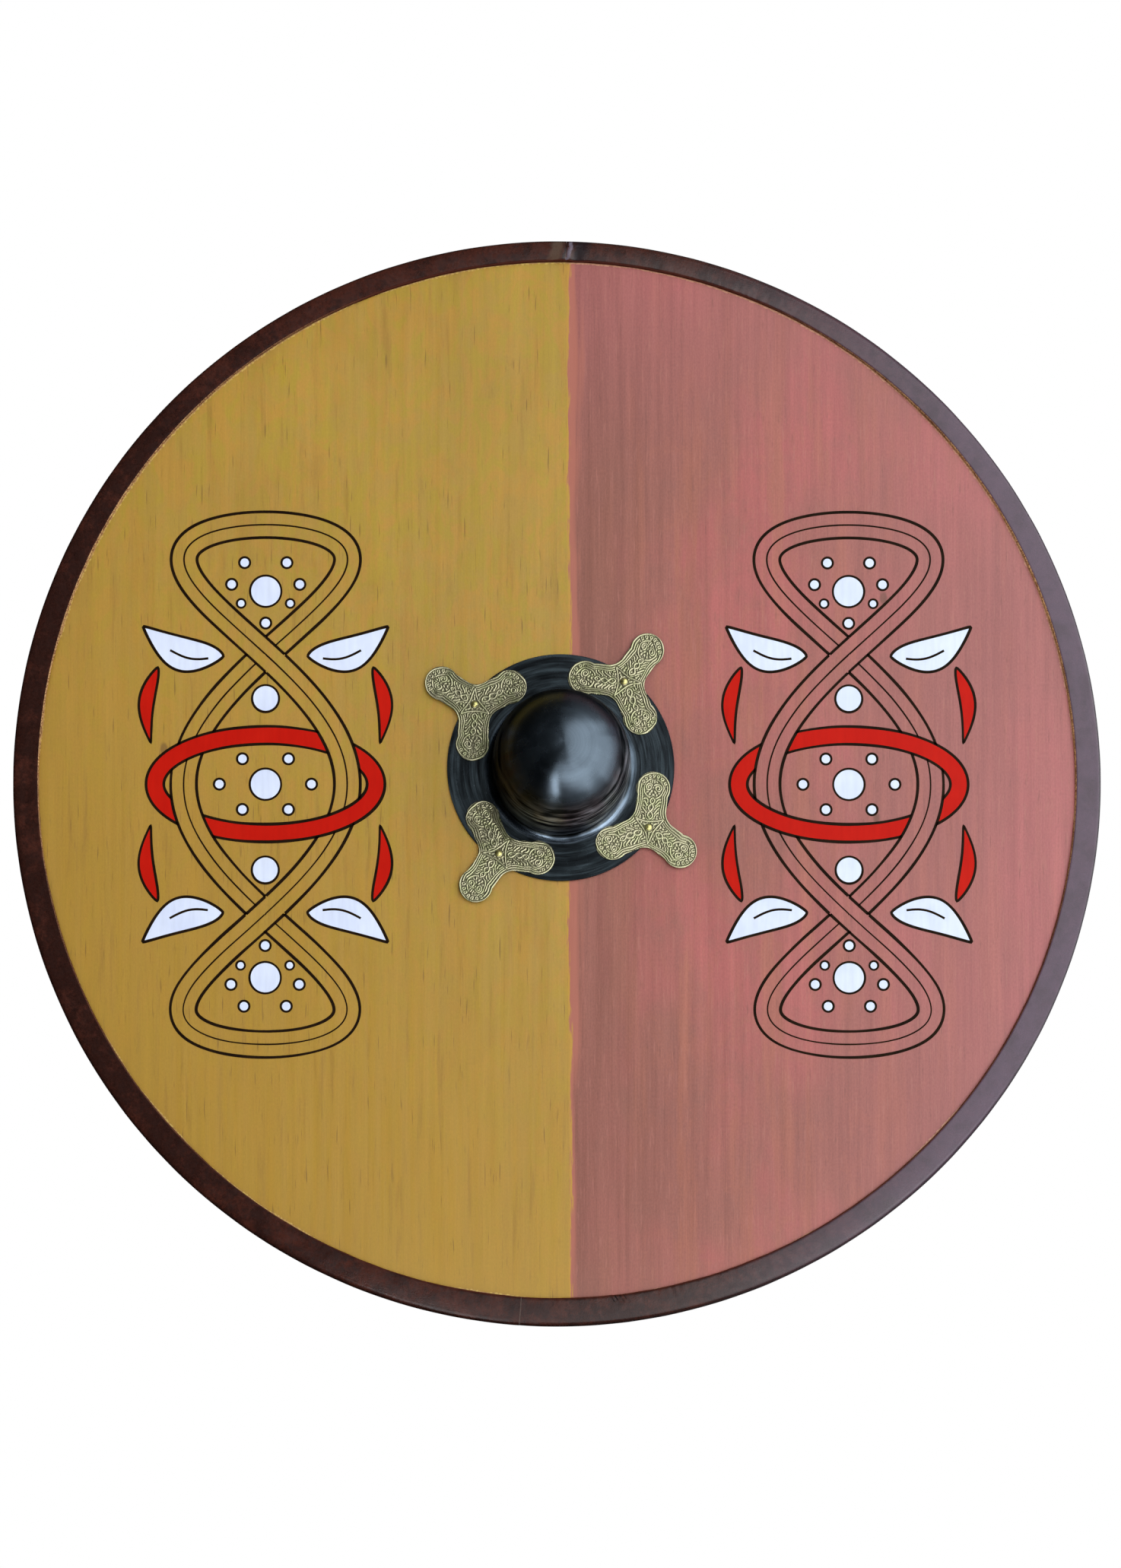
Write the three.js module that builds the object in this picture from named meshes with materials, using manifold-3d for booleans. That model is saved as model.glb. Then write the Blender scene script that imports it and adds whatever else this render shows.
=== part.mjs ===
// A round wooden shield. A flat plywood board carries a folded leather edging in two strips, a hollow
// steel boss over the hand hole, four three-lobed brass mounts riveted round the boss, and a wooden
// grip screwed across the hole from behind.
//
// Millimetres, +Z up. The front of the shield faces -Y. The origin is the middle of the grip, where
// the hand closes, and the boss, the hand hole and the ring of rivets share the Y axis through it.

import * as THREE from "three";
import { mergeVertices } from "three/addons/utils/BufferGeometryUtils.js";
import Module from "manifold-3d";

const wasm = await Module();
wasm.setup();

// Driving dimensions: the whole shield
const shieldDiameter = 800;
const bossAboveCentre = 10; // the boss and the grip sit this far above the board's middle
const bossRightOfCentre = 2.5;
const seatGap = 0.3; // left between two pieces that lie on each other along a curve
const holeClearance = 0.2; // round a shank
const cutOverrun = 4; // how far a cutter runs past the face that it opens

// Driving dimensions: the plywood board
const boardThickness = 10;
const boardEdgeRadius = 3;
const handHoleMargin = 0.8; // how far the hand hole's edge stands back from the boss's wall

// Driving dimensions: the leather edging, wider at the bottom than at the top
const leatherThickness = 2;
const edgingWidthTop = 17;
const edgingWidthBottom = 21.5;
const edgingWidthLeft = 20;
const edgingWidthRight = 20;
const edgingWidthBehind = 16;
const edgingJointGap = 0.4;
const topJointDegrees = 89;
const bottomJointDegrees = 266;

// Driving dimensions: the boss
const bossThickness = 1.6;
const wallRadius = 50.2;
const wallTaper = 0.4; // how much narrower the wall is at its top
const wallFootRadius = 4;
const wallHeight = 17; // from the board to the foot of the dome
const domeHeight = 50;
const flangeMargin = 5.3; // from the ring of rivets out to the flange's edge

// Driving dimensions: the four mounts, which were set round the boss by eye
const mountThickness = 1;
const mountFootGap = 0.23; // between the nearest lobe and the foot of the wall
const lobeDistance = 28.8;
const lobeRadius = 12.4;
const waistHalfWidth = 11.3;
const notchRadius = 12;
const armCount = 3;
const mountPlaces = [
  { name: "upper_right", aroundDegrees: 53.5, twistDegrees: 0.5 },
  { name: "upper_left", aroundDegrees: 144, twistDegrees: 3 },
  { name: "lower_left", aroundDegrees: 234.4, twistDegrees: -0.4 },
  { name: "lower_right", aroundDegrees: 325.4, twistDegrees: -2.4 },
];

// Driving dimensions: the rivets, and the washers that they are closed over
const rivetShankRadius = 1.3;
const rivetHeadRadius = 2.3;
const rivetHeadHeight = 1.5;
const rivetTailRadius = 2.2;
const rivetTailHeight = 1.2;
const washerRadius = 5;
const washerThickness = 1.2;

// Driving dimensions: the grip, a bar that is thicker where the hand closes on it
const gripLength = 340;
const gripThickness = 24;
const gripWidth = 32;
const gripEdgeRadius = 8;
const padLength = 58; // the thin flat end that is screwed down
const padThickness = 12;
const padWidth = 28;
const padEdgeRadius = 2.5;
const rampLength = 44; // where the pad rises to the full thickness
const gripEndRadius = 10; // the rounded corners at the bar's ends, seen from behind

// Driving dimensions: the countersunk slotted screws that hold the grip
const screwEndInset = 14;
const screwSpacing = 30;
const screwShankRadius = 1.8;
const screwHeadRadius = 3.8;
const screwHeadHeight = 2.4;
const screwHeadSink = 0.3;
const screwBite = 7; // how deep a screw goes into the board
const screwPointLength = 3;
const screwSlotWidth = 1;
const screwSlotDepth = 1;

// How finely the round shapes are faceted
const boardFacets = 96;
const bossFacets = 60;
const holeFacets = 48;
const pinFacets = 12;
const edgingStepDegrees = 3.75;
const edgeSteps = 3;
const domeSteps = 9;
const footSteps = 3;
const lobeSteps = 12;
const notchSteps = 4;
const gripCornerSteps = 3;
const rampSteps = 5;
const gripEndSteps = 4;
const headSteps = 3;

// Where the layers lie along Y, from the back of the grip to the front of the mounts
const boardBack = -gripThickness / 2;
const boardFront = boardBack - boardThickness;
const flangeFront = boardFront - bossThickness;
const mountFront = flangeFront - mountThickness;
const washerBack = boardBack + washerThickness;
const padBack = boardBack + padThickness;

const shieldRadius = shieldDiameter / 2;
const edgingInnerRadius = shieldRadius - leatherThickness;
const boardRadius = edgingInnerRadius - seatGap;
const handHoleRadius = wallRadius + handHoleMargin;
const rivetHoleRadius = rivetShankRadius + holeClearance;
const boardCentre = [-bossRightOfCentre, 0, -bossAboveCentre];

const quarterTurn = 90;
const halfTurn = 180;
const fullTurn = 360;

const mountRingRadius = ringOfMounts();
const flangeRadius = mountRingRadius + flangeMargin;

const finishes = {
  board: new THREE.MeshStandardMaterial({ color: 0xa98a41, roughness: 0.55, metalness: 0 }),
  leather: new THREE.MeshStandardMaterial({ color: 0x3f241c, roughness: 0.45, metalness: 0 }),
  steel: new THREE.MeshStandardMaterial({ color: 0x14181b, roughness: 0.3, metalness: 0.8 }),
  brass: new THREE.MeshStandardMaterial({ color: 0xa8a070, roughness: 0.35, metalness: 1 }),
  grip: new THREE.MeshStandardMaterial({ color: 0x9c7346, roughness: 0.55, metalness: 0 }),
  screw: new THREE.MeshStandardMaterial({ color: 0x8b857a, roughness: 0.4, metalness: 1 }),
};

// Solids, and how they are cut

// A closed three.js geometry as a solid. The flat triangles that a lathe leaves on its axis go.
function solidOf(geometry) {
  const bare = geometry.clone();
  bare.deleteAttribute("normal");
  bare.deleteAttribute("uv");
  const welded = mergeVertices(bare);
  const index = welded.index.array;
  const triangles = [];
  for (let i = 0; i < index.length; i += 3) {
    const [a, b, c] = [index[i], index[i + 1], index[i + 2]];
    if (a !== b && b !== c && c !== a) triangles.push(a, b, c);
  }
  const vertProperties = welded.attributes.position.array;
  return new wasm.Manifold(
    new wasm.Mesh({ numProp: 3, vertProperties, triVerts: new Uint32Array(triangles) }),
  );
}

function geometryOf(solid) {
  const mesh = solid.getMesh();
  const geometry = new THREE.BufferGeometry();
  geometry.setAttribute("position", new THREE.BufferAttribute(mesh.vertProperties, mesh.numProp));
  geometry.setIndex(new THREE.BufferAttribute(mesh.triVerts, 1));
  const faceted = geometry.toNonIndexed();
  faceted.computeVertexNormals();
  return faceted;
}

// The geometry with every cutter taken out of it.
function cut(geometry, cutters = []) {
  return geometryOf(
    cutters.reduce((solid, cutter) => solid.subtract(solidOf(cutter)), solidOf(geometry)),
  );
}

// A profile of [radius, y] points turned about the Y axis, with y growing along the outer side.
function turned(profile, facets) {
  return new THREE.LatheGeometry(
    profile.map(([radius, y]) => new THREE.Vector2(radius, y)),
    facets,
  );
}

// A round bar along Y between two heights.
function rod(radius, fromY, toY, facets) {
  const bar = new THREE.CylinderGeometry(radius, radius, toY - fromY, facets);
  return bar.translate(0, (fromY + toY) / 2, 0);
}

// Points on an ellipse's arc, both ends included. Angles are in degrees.
function arc([centreX, centreY], [radiusX, radiusY], from, to, steps) {
  return Array.from({ length: steps + 1 }, (_, i) => {
    const angle = THREE.MathUtils.degToRad(from + ((to - from) * i) / steps);
    return [centreX + radiusX * Math.cos(angle), centreY + radiusY * Math.sin(angle)];
  });
}

// A point in the shield's plane, at a distance and an angle from the Y axis.
function around(distance, degrees) {
  const angle = THREE.MathUtils.degToRad(degrees);
  return [distance * Math.cos(angle), distance * Math.sin(angle)];
}

// A skin over a row of sections that all hold the same number of points, closed at both ends.
// A section is a list of [across, up] points, and place(point, i) sets a point of section i in space.
function lofted(sections, place) {
  const count = sections[0].length;
  const last = sections.length - 1;
  const rings = sections.map((section, i) => section.map((point) => place(point, i)));
  const corners = [];
  for (let i = 0; i < last; i++) {
    for (let j = 0; j < count; j++) {
      const next = (j + 1) % count;
      const [a, b, c, d] = [rings[i][j], rings[i][next], rings[i + 1][next], rings[i + 1][j]];
      corners.push(a, b, c, a, c, d);
    }
  }
  const capOf = (section) =>
    THREE.ShapeUtils.triangulateShape(section.map((point) => new THREE.Vector2(...point)), []);
  capOf(sections[0]).forEach(([a, b, c]) => corners.push(rings[0][a], rings[0][c], rings[0][b]));
  capOf(sections[last]).forEach((cap) => cap.forEach((k) => corners.push(rings[last][k])));
  return new THREE.BufferGeometry().setFromPoints(corners);
}

function piece(name, geometry, finish) {
  const mesh = new THREE.Mesh(geometry, finish.clone());
  mesh.name = name;
  return mesh;
}

// How far out from the Y axis the mounts sit. Of the two lobes that lie either side of the way to
// the boss, a twist turns one nearer to the wall, and there that lobe just clears the wall's foot.
function ringOfMounts() {
  const mostTwist = Math.max(...mountPlaces.map(({ twistDegrees }) => Math.abs(twistDegrees)));
  const turnAside = THREE.MathUtils.degToRad(halfTurn / armCount - mostTwist);
  const lobeCentreRadius = wallRadius + wallFootRadius + mountFootGap + lobeRadius;
  const aside = lobeDistance * Math.sin(turnAside);
  return lobeDistance * Math.cos(turnAside) + Math.sqrt(lobeCentreRadius ** 2 - aside ** 2);
}

// The holes for the four rivets, from behind the board to past the front of the mounts.
function rivetHoles() {
  return mountPlaces.map(({ aroundDegrees }) => {
    const [x, z] = around(mountRingRadius, aroundDegrees);
    const fromY = mountFront - cutOverrun;
    return rod(rivetHoleRadius, fromY, boardBack + cutOverrun, pinFacets).translate(x, 0, z);
  });
}

// The board: a plywood disc with eased edges, a hand hole and the holes of its fastenings
function board() {
  const easeCentre = boardRadius - boardEdgeRadius;
  const ease = [boardEdgeRadius, boardEdgeRadius];
  const disc = turned(
    [
      [0, boardFront],
      ...arc([easeCentre, boardFront + boardEdgeRadius], ease, -quarterTurn, 0, edgeSteps),
      ...arc([easeCentre, boardBack - boardEdgeRadius], ease, 0, quarterTurn, edgeSteps),
      [0, boardBack],
    ],
    boardFacets,
  ).translate(...boardCentre);
  const handHole = rod(handHoleRadius, boardFront - cutOverrun, boardBack + cutOverrun, holeFacets);
  return piece("board", cut(disc, [handHole, ...rivetHoles(), ...screwHoles()]), finishes.board);
}

// The width of the edging's front leg, which changes smoothly round the board
function edgingWidth(angle) {
  const acrossWidth = Math.cos(angle) > 0 ? edgingWidthRight : edgingWidthLeft;
  const upWidth = Math.sin(angle) > 0 ? edgingWidthTop : edgingWidthBottom;
  return acrossWidth * Math.cos(angle) ** 2 + upWidth * Math.sin(angle) ** 2;
}

// The edging's section: a leg on the front, round the board's edge, and a leg on the back
function edgingSection(frontWidth) {
  const outerRadius = boardEdgeRadius + leatherThickness;
  const bendCentre = edgingInnerRadius - boardEdgeRadius;
  const frontBend = [bendCentre, boardFront + boardEdgeRadius];
  const backBend = [bendCentre, boardBack - boardEdgeRadius];
  const outer = [outerRadius, outerRadius];
  const inner = [boardEdgeRadius, boardEdgeRadius];
  const frontEnd = shieldRadius - frontWidth;
  const backEnd = shieldRadius - edgingWidthBehind;
  return [
    [frontEnd, boardFront - leatherThickness],
    ...arc(frontBend, outer, -quarterTurn, 0, edgeSteps),
    ...arc(backBend, outer, 0, quarterTurn, edgeSteps),
    [backEnd, boardBack + leatherThickness],
    [backEnd, boardBack],
    ...arc(backBend, inner, quarterTurn, 0, edgeSteps),
    ...arc(frontBend, inner, 0, -quarterTurn, edgeSteps),
    [frontEnd, boardFront],
  ];
}

// One strip of the leather edging, from one joint round to the other
function edging(name, fromDegrees, toDegrees) {
  const gapAngle = edgingJointGap / shieldRadius;
  const start = THREE.MathUtils.degToRad(fromDegrees) + gapAngle / 2;
  const end = THREE.MathUtils.degToRad(toDegrees) - gapAngle / 2;
  const steps = Math.ceil((toDegrees - fromDegrees) / edgingStepDegrees);
  const angles = Array.from({ length: steps + 1 }, (_, i) => start + ((end - start) * i) / steps);
  const sections = angles.map((angle) => edgingSection(edgingWidth(angle)));
  const strip = lofted(sections, ([radius, y], i) => {
    return new THREE.Vector3(radius * Math.cos(angles[i]), y, radius * Math.sin(angles[i]));
  });
  return piece(name, cut(strip.translate(...boardCentre)), finishes.leather);
}

// The boss: a flat flange, a filleted foot, a short wall and a round dome, spun from one sheet
function boss() {
  const wallTopRadius = wallRadius - wallTaper;
  const footRadius = wallFootRadius + bossThickness;
  const footCentre = [wallRadius + wallFootRadius, flangeFront - wallFootRadius];
  const domeBase = boardFront - wallHeight;
  const outer = [wallTopRadius, domeHeight];
  const inner = [wallTopRadius - bossThickness, domeHeight - bossThickness];
  const outside = [wallFootRadius, wallFootRadius];
  const inside = [footRadius, footRadius];
  const shell = turned(
    [
      ...arc([0, domeBase], outer, -quarterTurn, 0, domeSteps),
      ...arc(footCentre, outside, halfTurn, quarterTurn, footSteps),
      [flangeRadius, flangeFront],
      [flangeRadius, boardFront],
      ...arc(footCentre, inside, quarterTurn, halfTurn, footSteps),
      ...arc([0, domeBase], inner, 0, -quarterTurn, domeSteps),
    ],
    bossFacets,
  );
  return piece("boss", cut(shell, rivetHoles()), finishes.steel);
}

// The outline of a mount: three round lobes on short arms, with a rounded notch between the arms.
// The first arm points straight out from the boss.
function mountOutline(outwardDegrees) {
  const armStep = fullTurn / armCount;
  const lobeReach = halfTurn - THREE.MathUtils.radToDeg(Math.asin(waistHalfWidth / lobeRadius));
  const halfStep = THREE.MathUtils.degToRad(armStep / 2);
  const notchDistance = (waistHalfWidth + notchRadius) / Math.sin(halfStep);
  const lobe = [lobeRadius, lobeRadius];
  const notch = [notchRadius, notchRadius];
  return Array.from({ length: armCount }, (_, k) => {
    const arm = outwardDegrees + armStep * k;
    const lobeCentre = around(lobeDistance, arm);
    const notchCentre = around(notchDistance, arm + armStep / 2);
    const notchEnd = arm + armStep + quarterTurn;
    return [
      ...arc(lobeCentre, lobe, arm - lobeReach, arm + lobeReach, lobeSteps),
      ...arc(notchCentre, notch, arm - quarterTurn + fullTurn, notchEnd, notchSteps),
    ];
  }).flat();
}

function mount({ name, aroundDegrees, twistDegrees }) {
  const outline = mountOutline(aroundDegrees + twistDegrees);
  const shape = new THREE.Shape(outline.map((point) => new THREE.Vector2(...point)));
  const plate = new THREE.ExtrudeGeometry(shape, { depth: mountThickness, bevelEnabled: false });
  const [x, z] = around(mountRingRadius, aroundDegrees);
  plate.rotateX(THREE.MathUtils.degToRad(quarterTurn)).translate(x, flangeFront, z);
  return piece(`mount_${name}`, cut(plate, rivetHoles()), finishes.brass);
}

// A rivet: a domed head on the mount, a shank, and a tail hammered over the washer behind
function rivet({ name, aroundDegrees }) {
  const head = [rivetHeadRadius, rivetHeadHeight];
  const tail = [rivetTailRadius, rivetTailHeight];
  const [x, z] = around(mountRingRadius, aroundDegrees);
  const body = turned(
    [
      ...arc([0, mountFront], head, -quarterTurn, 0, headSteps),
      [rivetShankRadius, mountFront],
      [rivetShankRadius, washerBack],
      ...arc([0, washerBack], tail, 0, quarterTurn, headSteps),
    ],
    pinFacets,
  ).translate(x, 0, z);
  return piece(`rivet_${name}`, cut(body), finishes.brass);
}

function rivetWasher({ name, aroundDegrees }) {
  const [x, z] = around(mountRingRadius, aroundDegrees);
  const disc = rod(washerRadius, boardBack, washerBack, pinFacets).translate(x, 0, z);
  return piece(`rivet_washer_${name}`, cut(disc, rivetHoles()), finishes.screw);
}

// The grip's section: a rectangle from the board's back to backY, with round edges
function gripSection(halfWidth, thickness, edgeRadius) {
  const reach = halfWidth - edgeRadius;
  const front = boardBack + edgeRadius;
  const back = boardBack + thickness - edgeRadius;
  const edge = [edgeRadius, edgeRadius];
  return [
    ...arc([back, -reach], edge, -quarterTurn, 0, gripCornerSteps),
    ...arc([back, reach], edge, 0, quarterTurn, gripCornerSteps),
    ...arc([front, reach], edge, quarterTurn, halfTurn, gripCornerSteps),
    ...arc([front, -reach], edge, halfTurn, halfTurn + quarterTurn, gripCornerSteps),
  ];
}

// The stations along half of the grip, from its end to its middle: the distance from the end, and
// how much of the full hand span has been reached there, from 0 on the pad to 1
function gripStations() {
  const corner = arc([gripEndRadius, 0], [gripEndRadius, 0], halfTurn, quarterTurn, gripEndSteps);
  const ends = corner.map(([distance]) => ({ distance, span: 0 }));
  const ramp = Array.from({ length: rampSteps + 1 }, (_, i) => ({
    distance: padLength + (rampLength * i) / rampSteps,
    span: THREE.MathUtils.smoothstep(i, 0, rampSteps),
  }));
  return [...ends, ...ramp];
}

function gripStationSection({ distance, span }) {
  const fromCorner = Math.max(gripEndRadius - distance, 0);
  const rounding = gripEndRadius - Math.sqrt(gripEndRadius ** 2 - fromCorner ** 2);
  const halfWidth = THREE.MathUtils.lerp(padWidth, gripWidth, span) / 2 - rounding;
  const thickness = THREE.MathUtils.lerp(padThickness, gripThickness, span);
  const edgeRadius = THREE.MathUtils.lerp(padEdgeRadius, gripEdgeRadius, span);
  return gripSection(halfWidth, thickness, edgeRadius);
}

function grip() {
  const half = gripStations();
  const left = half.map((station) => ({ ...station, x: station.distance - gripLength / 2 }));
  const right = left.map((station) => ({ ...station, x: -station.x })).reverse();
  const stations = [...left, ...right];
  const bar = lofted(stations.map(gripStationSection), ([y, z], i) => {
    return new THREE.Vector3(stations[i].x, y, z);
  });
  return piece("grip", cut(bar, screwHoles()), finishes.grip);
}

// The grip's screws lie in a row, two in each pad
function screwPlaces() {
  const outer = gripLength / 2 - screwEndInset;
  const inner = outer - screwSpacing;
  return [
    { name: "left_outer", x: -outer },
    { name: "left_inner", x: -inner },
    { name: "right_inner", x: inner },
    { name: "right_outer", x: outer },
  ];
}

// A screw's side, from its point to the top of its countersunk head, let out by a clearance
function screwSide(clearance) {
  const point = boardBack - screwBite;
  const headTop = padBack - screwHeadSink;
  return [
    [0, point - clearance],
    [screwShankRadius + clearance, point + screwPointLength],
    [screwShankRadius + clearance, headTop - screwHeadHeight],
    [screwHeadRadius + clearance, headTop],
  ];
}

function screwHoles() {
  const mouth = padBack + cutOverrun;
  const side = [...screwSide(holeClearance), [screwHeadRadius + holeClearance, mouth], [0, mouth]];
  return screwPlaces().map(({ x }) => turned(side, pinFacets).translate(x, 0, 0));
}

function screw({ name, x }) {
  const headTop = padBack - screwHeadSink;
  const body = turned([...screwSide(0), [0, headTop]], pinFacets);
  const slotLength = (screwHeadRadius + cutOverrun) * 2;
  const slot = new THREE.BoxGeometry(slotLength, screwSlotDepth * 2, screwSlotWidth);
  slot.translate(0, headTop, 0);
  return piece(`grip_screw_${name}`, cut(body, [slot]).translate(x, 0, 0), finishes.screw);
}

// The shield, put together
const shield = new THREE.Group();
shield.add(board());
shield.add(edging("rim_leather_left", topJointDegrees, bottomJointDegrees));
shield.add(edging("rim_leather_right", bottomJointDegrees - fullTurn, topJointDegrees));
shield.add(boss());
shield.add(...mountPlaces.map(mount));
shield.add(...mountPlaces.map(rivet));
shield.add(...mountPlaces.map(rivetWasher));
shield.add(grip());
shield.add(...screwPlaces().map(screw));

export default shield;
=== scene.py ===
import math

import bmesh
import bpy
import numpy as np
from bpy.props import FloatProperty, FloatVectorProperty, IntProperty, PointerProperty
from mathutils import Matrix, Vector, noise
from mathutils.geometry import delaunay_2d_cdt


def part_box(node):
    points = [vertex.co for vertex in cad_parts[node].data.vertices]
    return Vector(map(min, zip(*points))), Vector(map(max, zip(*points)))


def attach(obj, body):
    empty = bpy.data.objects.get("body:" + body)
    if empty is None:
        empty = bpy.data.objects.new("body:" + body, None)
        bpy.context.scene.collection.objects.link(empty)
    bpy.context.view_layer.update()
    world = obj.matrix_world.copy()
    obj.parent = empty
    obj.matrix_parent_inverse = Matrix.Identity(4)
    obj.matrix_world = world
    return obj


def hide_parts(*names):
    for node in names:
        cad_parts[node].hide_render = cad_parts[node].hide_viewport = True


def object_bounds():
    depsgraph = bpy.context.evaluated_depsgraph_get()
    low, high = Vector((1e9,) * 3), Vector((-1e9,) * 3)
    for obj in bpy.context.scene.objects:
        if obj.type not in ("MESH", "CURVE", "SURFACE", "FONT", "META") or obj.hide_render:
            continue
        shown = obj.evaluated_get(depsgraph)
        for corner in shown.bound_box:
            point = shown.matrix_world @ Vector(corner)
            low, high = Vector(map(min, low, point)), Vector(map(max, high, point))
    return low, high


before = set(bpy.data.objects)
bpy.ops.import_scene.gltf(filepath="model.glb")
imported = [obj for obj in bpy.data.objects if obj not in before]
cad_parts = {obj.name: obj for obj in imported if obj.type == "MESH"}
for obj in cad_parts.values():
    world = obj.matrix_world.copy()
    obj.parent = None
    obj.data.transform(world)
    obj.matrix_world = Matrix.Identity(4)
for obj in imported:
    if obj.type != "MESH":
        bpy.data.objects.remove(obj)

bl_info = {
    "name": "Round Shield",
    "version": (1, 0, 0),
    "blender": (4, 5, 0),
    "location": "3D View > Sidebar > Shield",
    "description": "Dresses the packed round shield in paint, leather, steel, brass and wood",
    "category": "Add Mesh",
}

CAD_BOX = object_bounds()
MM = 0.001

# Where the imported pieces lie. The front of the shield faces -Y.
BOARD_LOW, BOARD_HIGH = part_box("board")
PAINT_FACE = BOARD_LOW.y
BOARD_BACK = BOARD_HIGH.y
BOARD_MIDDLE = ((BOARD_LOW.x + BOARD_HIGH.x) / 2, (BOARD_LOW.z + BOARD_HIGH.z) / 2)
BOARD_RADIUS = (BOARD_HIGH.z - BOARD_LOW.z) / 2
RIM_RADIUS = (CAD_BOX[1].z - CAD_BOX[0].z) / 2
FLANGE_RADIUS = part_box("boss")[1].x
MOUNT_FRONT, MOUNT_BACK = (corner.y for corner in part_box("mount_upper_right"))
WASHER_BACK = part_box("rivet_washer_upper_right")[1].y
GRIP_LOW, GRIP_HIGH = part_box("grip")

# Each mount's name and the angle of its first arm, from +X towards +Z
MOUNT_ARMS = {"upper_right": 54.0, "upper_left": 147.0, "lower_left": 234.0, "lower_right": 323.0}

# Each grip screw's name and the angle that its slot was left at
SCREW_SLOTS = {"left_outer": 15.0, "left_inner": -38.0, "right_inner": 62.0, "right_outer": -9.0}


def linear(red, green, blue):
    """A colour on the 0 to 255 scale as scene linear values."""
    def curve(value):
        share = value / 255
        return share / 12.92 if share <= 0.04045 else ((share + 0.055) / 1.055) ** 2.4
    return (curve(red), curve(green), curve(blue))


# Settings

def colour_setting(name, description, shade):
    """A colour to choose in the panel. Its first shade is given on the 0 to 255 scale."""
    return FloatVectorProperty(
        name=name, description=description, subtype="COLOR", size=3, min=0, max=1, default=linear(*shade)
    )


def length_setting(name, description, size):
    """A length to choose in the panel."""
    return FloatProperty(name=name, description=description, default=size, min=0, unit="LENGTH")


def lamp_setting(name, description, radiance):
    """How bright a lamp's face looks, to choose in the panel."""
    return FloatProperty(name=name, description=f"Radiance of the {description}", default=radiance, min=0)


class ShieldSizes(bpy.types.PropertyGroup):
    """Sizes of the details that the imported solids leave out"""

    ply_count: IntProperty(name="Plies", description="Veneers in the board", default=7, min=3)
    split_right: length_setting("Split", "How far right of the boss the two paints meet", 6.5 * MM)
    line_width: length_setting("Line width", "Width of the painted black lines", 2.1 * MM)
    ribbon_width: length_setting("Ribbon width", "Width of the plain knotwork ribbon", 19 * MM)
    ring_width: length_setting("Ring width", "Width of the bright red ring", 13 * MM)
    dot_diameter: length_setting("Dot diameter", "Diameter of the largest white dots", 23 * MM)
    edge_wave: length_setting("Edge wave", "How far the leather's cut edge wanders", 0.4 * MM)
    pucker_depth: length_setting("Pucker depth", "Depth of the creases in the leather", 0.5 * MM)
    turning_depth: length_setting("Turning depth", "Depth of the marks left by spinning", 0.05 * MM)
    relief_depth: length_setting("Relief depth", "Depth of the ornament on the mounts", 0.55 * MM)


class ShieldColours(bpy.types.PropertyGroup):
    """Colours of the shield's finishes"""

    yellow: colour_setting("Yellow", "Paint of the left half", (171, 132, 47))
    red: colour_setting("Red", "Paint of the right half", (154, 86, 76))
    line: colour_setting("Line", "Painted outlines", (25, 14, 5))
    white: colour_setting("White", "White in the painted design", (214, 222, 242))
    bright_red: colour_setting("Bright red", "Red in the painted design", (181, 19, 6))
    leather: colour_setting("Leather", "Edging", (40, 18, 13))
    steel: colour_setting("Steel", "Blackened boss", (66, 71, 76))
    brass: colour_setting("Brass", "Raised parts of the mounts", (206, 198, 163))
    bare_wood: colour_setting("Bare wood", "Back of the board", (186, 152, 108))
    grip_wood: colour_setting("Grip wood", "Oiled ash of the grip", (156, 108, 62))
    zinc: colour_setting("Zinc", "Washers and screws", (176, 176, 172))


class ShieldStudio(bpy.types.PropertyGroup):
    """Strengths of the studio's lamps"""

    key: lamp_setting("Side panel", "panels at the right", 2.3)
    window: lamp_setting("Low lamp", "lamp below the camera", 5.0)
    low: lamp_setting("Low panel", "panel at the lower right", 2.5)
    fill: lamp_setting("Fill", "soft fill at the left", 1.2)
    rear: lamp_setting("Rear fill", "fill behind", 2.0)


# How a finish is made

def is_socket(value):
    return isinstance(value, bpy.types.NodeSocket)


def opaque(colour):
    """A colour as a shader's input takes it: a socket as it is, plain channels with full alpha."""
    return colour if is_socket(colour) else (*colour[:3], 1.0)


def tinted(shade, red=1.0, green=1.0, blue=1.0):
    """A colour with its channels scaled."""
    return tuple(min(channel * factor, 1.0) for channel, factor in zip(shade, (red, green, blue)))


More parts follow.
